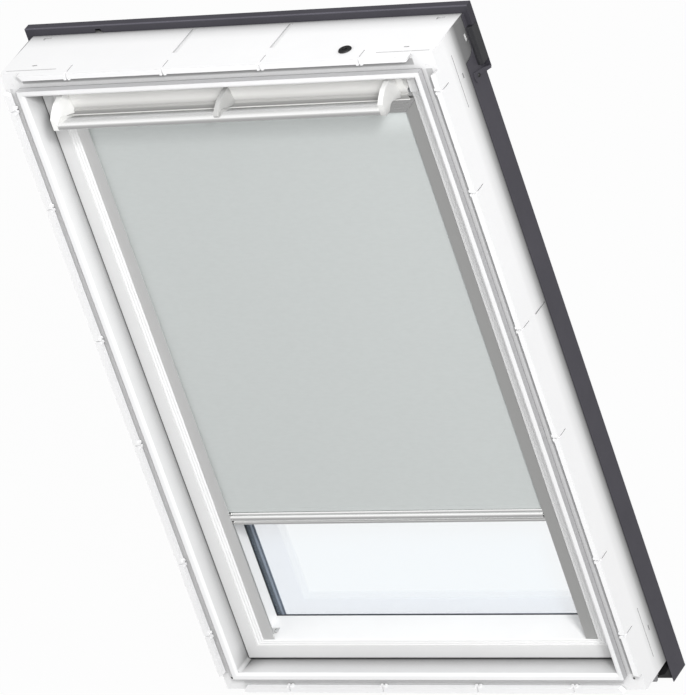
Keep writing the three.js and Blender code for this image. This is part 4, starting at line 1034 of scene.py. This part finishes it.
hem_mesh = bpy.data.meshes.new("cloth_hem")
fold = bmesh.new()
bmesh.ops.create_cube(fold, size=1)
bmesh.ops.scale(fold, verts=fold.verts, vec=(2 * cloth_half, hem_proud, hem_height))
along = [edge for edge in fold.edges if abs((edge.verts[0].co - edge.verts[1].co).x) > hem_height]
bmesh.ops.bevel(
    fold,
    geom=along,
    offset=hem_proud * hem_rounding,
    affect="EDGES",
    segments=3,
    profile=0.5,
    material=-1,
)
hem_middle = (0, cloth_box[0].y - hem_proud / 2 - hem_gap, cloth_low + hem_height / 2)
bmesh.ops.translate(fold, verts=fold.verts, vec=hem_middle)
fold.to_mesh(hem_mesh)
fold.free()
hem_mesh.materials.append(blackout_cloth)
hem = bpy.data.objects.new("cloth_hem", hem_mesh)
scene.collection.objects.link(hem)
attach(hem, "blind_bar")
print("hem", hem_height, "m high")

# %% [markdown]

# %% [markdown]
# ## Softened edges
# No real edge is perfectly sharp. Rounding the meshes themselves would change the construction,
# so modifiers do it on top. The parts come as loose triangles, so a weld joins them first. A
# narrow bevel then rounds every real edge, and weighted normals keep the flats flat while the
# facets of a curve melt into one smooth curve.

# %% Softened edges
merge_within = 0.000005
sharp_from = math.radians(38)
flats_weight = 60


def soften(part, width):
    """Weld, bevel and weighted normals on one part. The part's own mesh stays as it is."""
    weld = part.modifiers.new("weld", "WELD")
    weld.merge_threshold = merge_within
    edge = part.modifiers.new("soft_edge", "BEVEL")
    edge.width = width
    edge.segments = 2
    edge.limit_method = "ANGLE"
    edge.angle_limit = sharp_from
    even = part.modifiers.new("even_normals", "WEIGHTED_NORMAL")
    even.weight = flats_weight
    for face in part.data.polygons:
        face.use_smooth = True


fine_edge = 0.0004
soft_edges = {
    "control_bar": 0.0006,
    "bar_arm_middle": 0.0012,
    "vent_flap": 0.0006,
    "blind_casing": 0.0005,
    "blind_bottom_bar": fine_edge,
    "cable_bushing": fine_edge,
    "top_hood": fine_edge,
}
soft_pairs = {
    "hood_end": 0.0006,
    "hood_clip": fine_edge,
    "side_channel": fine_edge,
    "channel_foot": fine_edge,
    "side_cladding": fine_edge,
    "roller_bracket": fine_edge,
    "flap_hinge": fine_edge,
}
for name, width in soft_pairs.items():
    for side in ("_left", "_right"):
        soft_edges[name + side] = width
for name, width in soft_edges.items():
    soften(nodes[name], width)
print(len(soft_edges), "parts with soft edges")

# %% [markdown]
# ## Small shapes that the construction leaves out
# The next pieces are too fine for the construction or would get in the way of its checks. They
# all start from one of three helpers: an object made from a finished mesh that rides a body, a
# block with bevelled edges, and a rod.


# %% Helpers for small pieces
def finished(name, shape, material, body):
    """Turns a bmesh into an object that rides a body."""
    bmesh.ops.recalc_face_normals(shape, faces=shape.faces)
    mesh = bpy.data.meshes.new(name)
    shape.to_mesh(mesh)
    shape.free()
    mesh.materials.append(material)
    made = bpy.data.objects.new(name, mesh)
    scene.collection.objects.link(made)
    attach(made, body)
    return made


def add_block(shape, low, high, rounding, turned=0.0):
    """A block between two corners with rounded edges, turned about its own x axis."""
    made = bmesh.ops.create_cube(shape, size=1)["verts"]
    low, high = Vector(low), Vector(high)
    bmesh.ops.scale(shape, verts=made, vec=high - low)
    corners = set(made)
    rounded = bmesh.ops.bevel(
        shape,
        geom=[edge for edge in shape.edges if edge.verts[0] in corners],
        offset=rounding,
        affect="EDGES",
        segments=2,
        profile=0.5,
        material=-1,
    )
    made = list({vert for face in rounded["faces"] for vert in face.verts})
    bmesh.ops.rotate(shape, verts=made, matrix=Matrix.Rotation(turned, 3, "X"))
    bmesh.ops.translate(shape, verts=made, vec=(low + high) / 2)


def add_rod(shape, middle, radius, length, along, sides=20):
    """A round rod about its middle, along one axis."""
    made = bmesh.ops.create_cone(
        shape,
        cap_ends=True,
        segments=sides,
        radius1=radius,
        radius2=radius,
        depth=length,
    )["verts"]
    axis, angle = {"X": ("Y", 90), "Y": ("X", 90)}[along]
    bmesh.ops.rotate(shape, verts=made, matrix=Matrix.Rotation(math.radians(angle), 3, axis))
    bmesh.ops.translate(shape, verts=made, vec=middle)


print("block and rod ready")

# %% [markdown]
# ### Lower lip of the ventilation flap
# Below its curve the flap runs on as a thin lip that ends in a round white bead. A profile could
# be extruded for it, but a tilted block and a rod along its edge give the same form.

# %% Flap lip
flap_half = 0.312
lip_top = Vector((0.0081, 1.0962))
bead_middle = Vector((0.0103, 1.0870))
bead_radius = 0.0011
lip_thick = 0.0016
lip_rounding = 0.0005

lip_run = bead_middle - lip_top
lip_tilt = math.atan2(lip_run.x, -lip_run.y)
lip_middle = (bead_middle + lip_top) / 2
lip_half = Vector((flap_half, lip_thick / 2, lip_run.length / 2))
shape = bmesh.new()
lip_centre = Vector((0, *lip_middle))
add_block(shape, lip_centre - lip_half, lip_centre + lip_half, lip_rounding, lip_tilt)
add_rod(shape, (0, *bead_middle), bead_radius, 2 * flap_half, "X")
flap_lip = finished("flap_lip", shape, flap_cream, "flap")
print("lip", round(lip_run.length, 4), "m wide, with", len(flap_lip.data.polygons), "faces")

# %% [markdown]
# ### Arms that end flush with the bar
# The two outer arms end flush with the bar's front and lower edge. They could be modelled anew,
# but a copy keeps their curve: it is merged, cut by two planes and closed again. All its edges
# are then rounded generously.

# %% Flush arms
arm_front = -0.0479
arm_low = 1.0932
arm_rounding = 0.0016
cuts = (((0, arm_front, 0), (0, -1, 0)), ((0, 0, arm_low), (0, 0, -1)))

for side, arm_finish in (("left", arm_white), ("right", painted_shade_arm_white)):
    shape = bmesh.new()
    shape.from_mesh(nodes["bar_arm_" + side].data)
    bmesh.ops.remove_doubles(shape, verts=shape.verts, dist=merge_within)
    for cut_at, outward in cuts:
        bmesh.ops.bisect_plane(
            shape,
            geom=shape.verts[:] + shape.edges[:] + shape.faces[:],
            plane_co=cut_at,
            plane_no=outward,
            clear_outer=True,
        )
        rim = [edge for edge in shape.edges if edge.is_boundary]
        bmesh.ops.holes_fill(shape, edges=rim)
    bmesh.ops.dissolve_limit(
        shape,
        angle_limit=math.radians(1),
        verts=shape.verts,
        edges=shape.edges,
    )
    arm = finished("arm_flush_" + side, shape, arm_finish, "flap")
    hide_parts("bar_arm_" + side)
    soften(arm, arm_rounding)
    print(arm.name, "with", len(arm.data.polygons), "faces")

# %% [markdown]
# ### Covers beside the flap
# Left and right of the flap a narrow moulded cover closes the sash's upper corner. One low
# block is placed twice, the second time on the other side of the middle.

# %% Side covers of the flap
cover_low = (0.3128, 0.0165, 1.095)
cover_high = (0.3270, 0.0220, 1.137)
cover_rounding = 0.001

shape = bmesh.new()
for side in (-1, 1):
    ends = sorted((side * cover_low[0], side * cover_high[0]))
    add_block(shape, (ends[0], *cover_low[1:]), (ends[1], *cover_high[1:]), cover_rounding)
flap_covers = finished("flap_side_covers", shape, sash_white, "sash")
print("two covers with", len(flap_covers.data.polygons), "faces")

# %% [markdown]
# ### Round front of the bottom bar
# The bottom bar's front swells into a long round bead, which catches one bright line. It is a
# rod half sunk into the bar, with many sides, because polished metal shows every facet.

# %% Bead of the bottom bar
swell_half = 0.2888
swell_middle = 0.3132
swell_radius = 0.0058
swell_depth = 0.0268
swell_edge = 0.0003

shape = bmesh.new()
add_rod(shape, (0, swell_depth, swell_middle), swell_radius, 2 * swell_half, "X", sides=40)
bar_swell = finished("bottom_bar_bead", shape, satin_aluminium, "blind_bar")
soften(bar_swell, swell_edge)
print("bead", 2 * swell_half, "m long")

# %% [markdown]
# ### Moulded ears of the frame
# Where a slot parts the groove's wall, two small ears stiffen the wall's inner edge, one on
# each side of the slot. There are 40 alike, so loops over the slots place one small block.

# %% Ears
ear_along = 0.0045
ear_inward = 0.0027
ear_front = -0.0196
ear_back = -0.0100
ear_rounding = 0.0008
slot_half = 0.0015
wall_low, wall_high = 0.009, 1.169
wall_across = 0.381
slots_across = (0.088, 0.264)
slots_up = (0.111, 0.254, 0.485, 0.685, 0.933, 1.114)


def add_ear(shape, across, up):
    """One ear, from its two limits across and its two limits up."""
    low = (across[0], ear_front, up[0])
    add_block(shape, low, (across[1], ear_back, up[1]), ear_rounding)


shape = bmesh.new()
for beside in (-1, 1):
    near, far = sorted((beside * slot_half, beside * (slot_half + ear_along)))
    for x in [side * across for side in (-1, 1) for across in slots_across]:
        add_ear(shape, (x + near, x + far), (wall_low, wall_low + ear_inward))
        add_ear(shape, (x + near, x + far), (wall_high - ear_inward, wall_high))
    for z in slots_up:
        for side in (-1, 1):
            ends = sorted((side * wall_across, side * (wall_across - ear_inward)))
            add_ear(shape, ends, (z + near, z + far))
wall_ears = finished("groove_wall_ears", shape, frame_white, "frame")
ear_count = 4 * (2 * len(slots_across) + len(slots_up))
print(ear_count, "ears with", len(wall_ears.data.polygons), "faces")

# %% [markdown]
# ### Corner fillets
# In the lower corners of the opening the moulding is rounded. A bevel on the frame itself would
# change the construction, so a small filler sits in each corner: its hollow side is an arc that
# is spun from one point, closed through the corner and extruded to its depth.

# %% Corner fillets
corner_rounding = 0.006
arc_steps = 8
fillet_half = 0.352
fillet_low = 0.0375
fillet_front, fillet_back = -0.0174, 0.0216

shape = bmesh.new()
for side in (-1, 1):
    corner = shape.verts.new((side * fillet_half, fillet_front, fillet_low))
    start = shape.verts.new((side * fillet_half, fillet_front, fillet_low + corner_rounding))
    inward = side * (fillet_half - corner_rounding)
    bmesh.ops.spin(
        shape,
        geom=[start],
        cent=(inward, fillet_front, fillet_low + corner_rounding),
        axis=(0, 1, 0),
        angle=side * math.radians(90),
        steps=arc_steps,
    )
    arc = [vert for vert in shape.verts if not vert.link_faces and vert is not corner]
    arc.sort(key=lambda vert: -vert.co.z)
    face = shape.faces.new([corner] + arc)
    deeper = bmesh.ops.extrude_face_region(shape, geom=[face])
    moved = [item for item in deeper["geom"] if isinstance(item, bmesh.types.BMVert)]
    bmesh.ops.translate(shape, verts=moved, vec=(0, fillet_back - fillet_front, 0))
corner_fillets = finished("corner_fillets", shape, frame_white, "frame")
print("two fillets with", len(corner_fillets.data.polygons), "faces")

# %% [markdown]
# ### Corner plugs
# Small white plugs close the screw holes in the frame's upper corners. Each is a short rod that
# fits its hole.

# %% Corner plugs
plug_at = (0.374, -0.0080, 1.156)
plug_radius = 0.0023
plug_length = 0.0038

shape = bmesh.new()
for side in (-1, 1):
    add_rod(shape, (side * plug_at[0], *plug_at[1:]), plug_radius, plug_length, "Y")
corner_plugs = finished("corner_plugs", shape, frame_white, "frame")
print("two plugs with", len(corner_plugs.data.polygons), "faces")
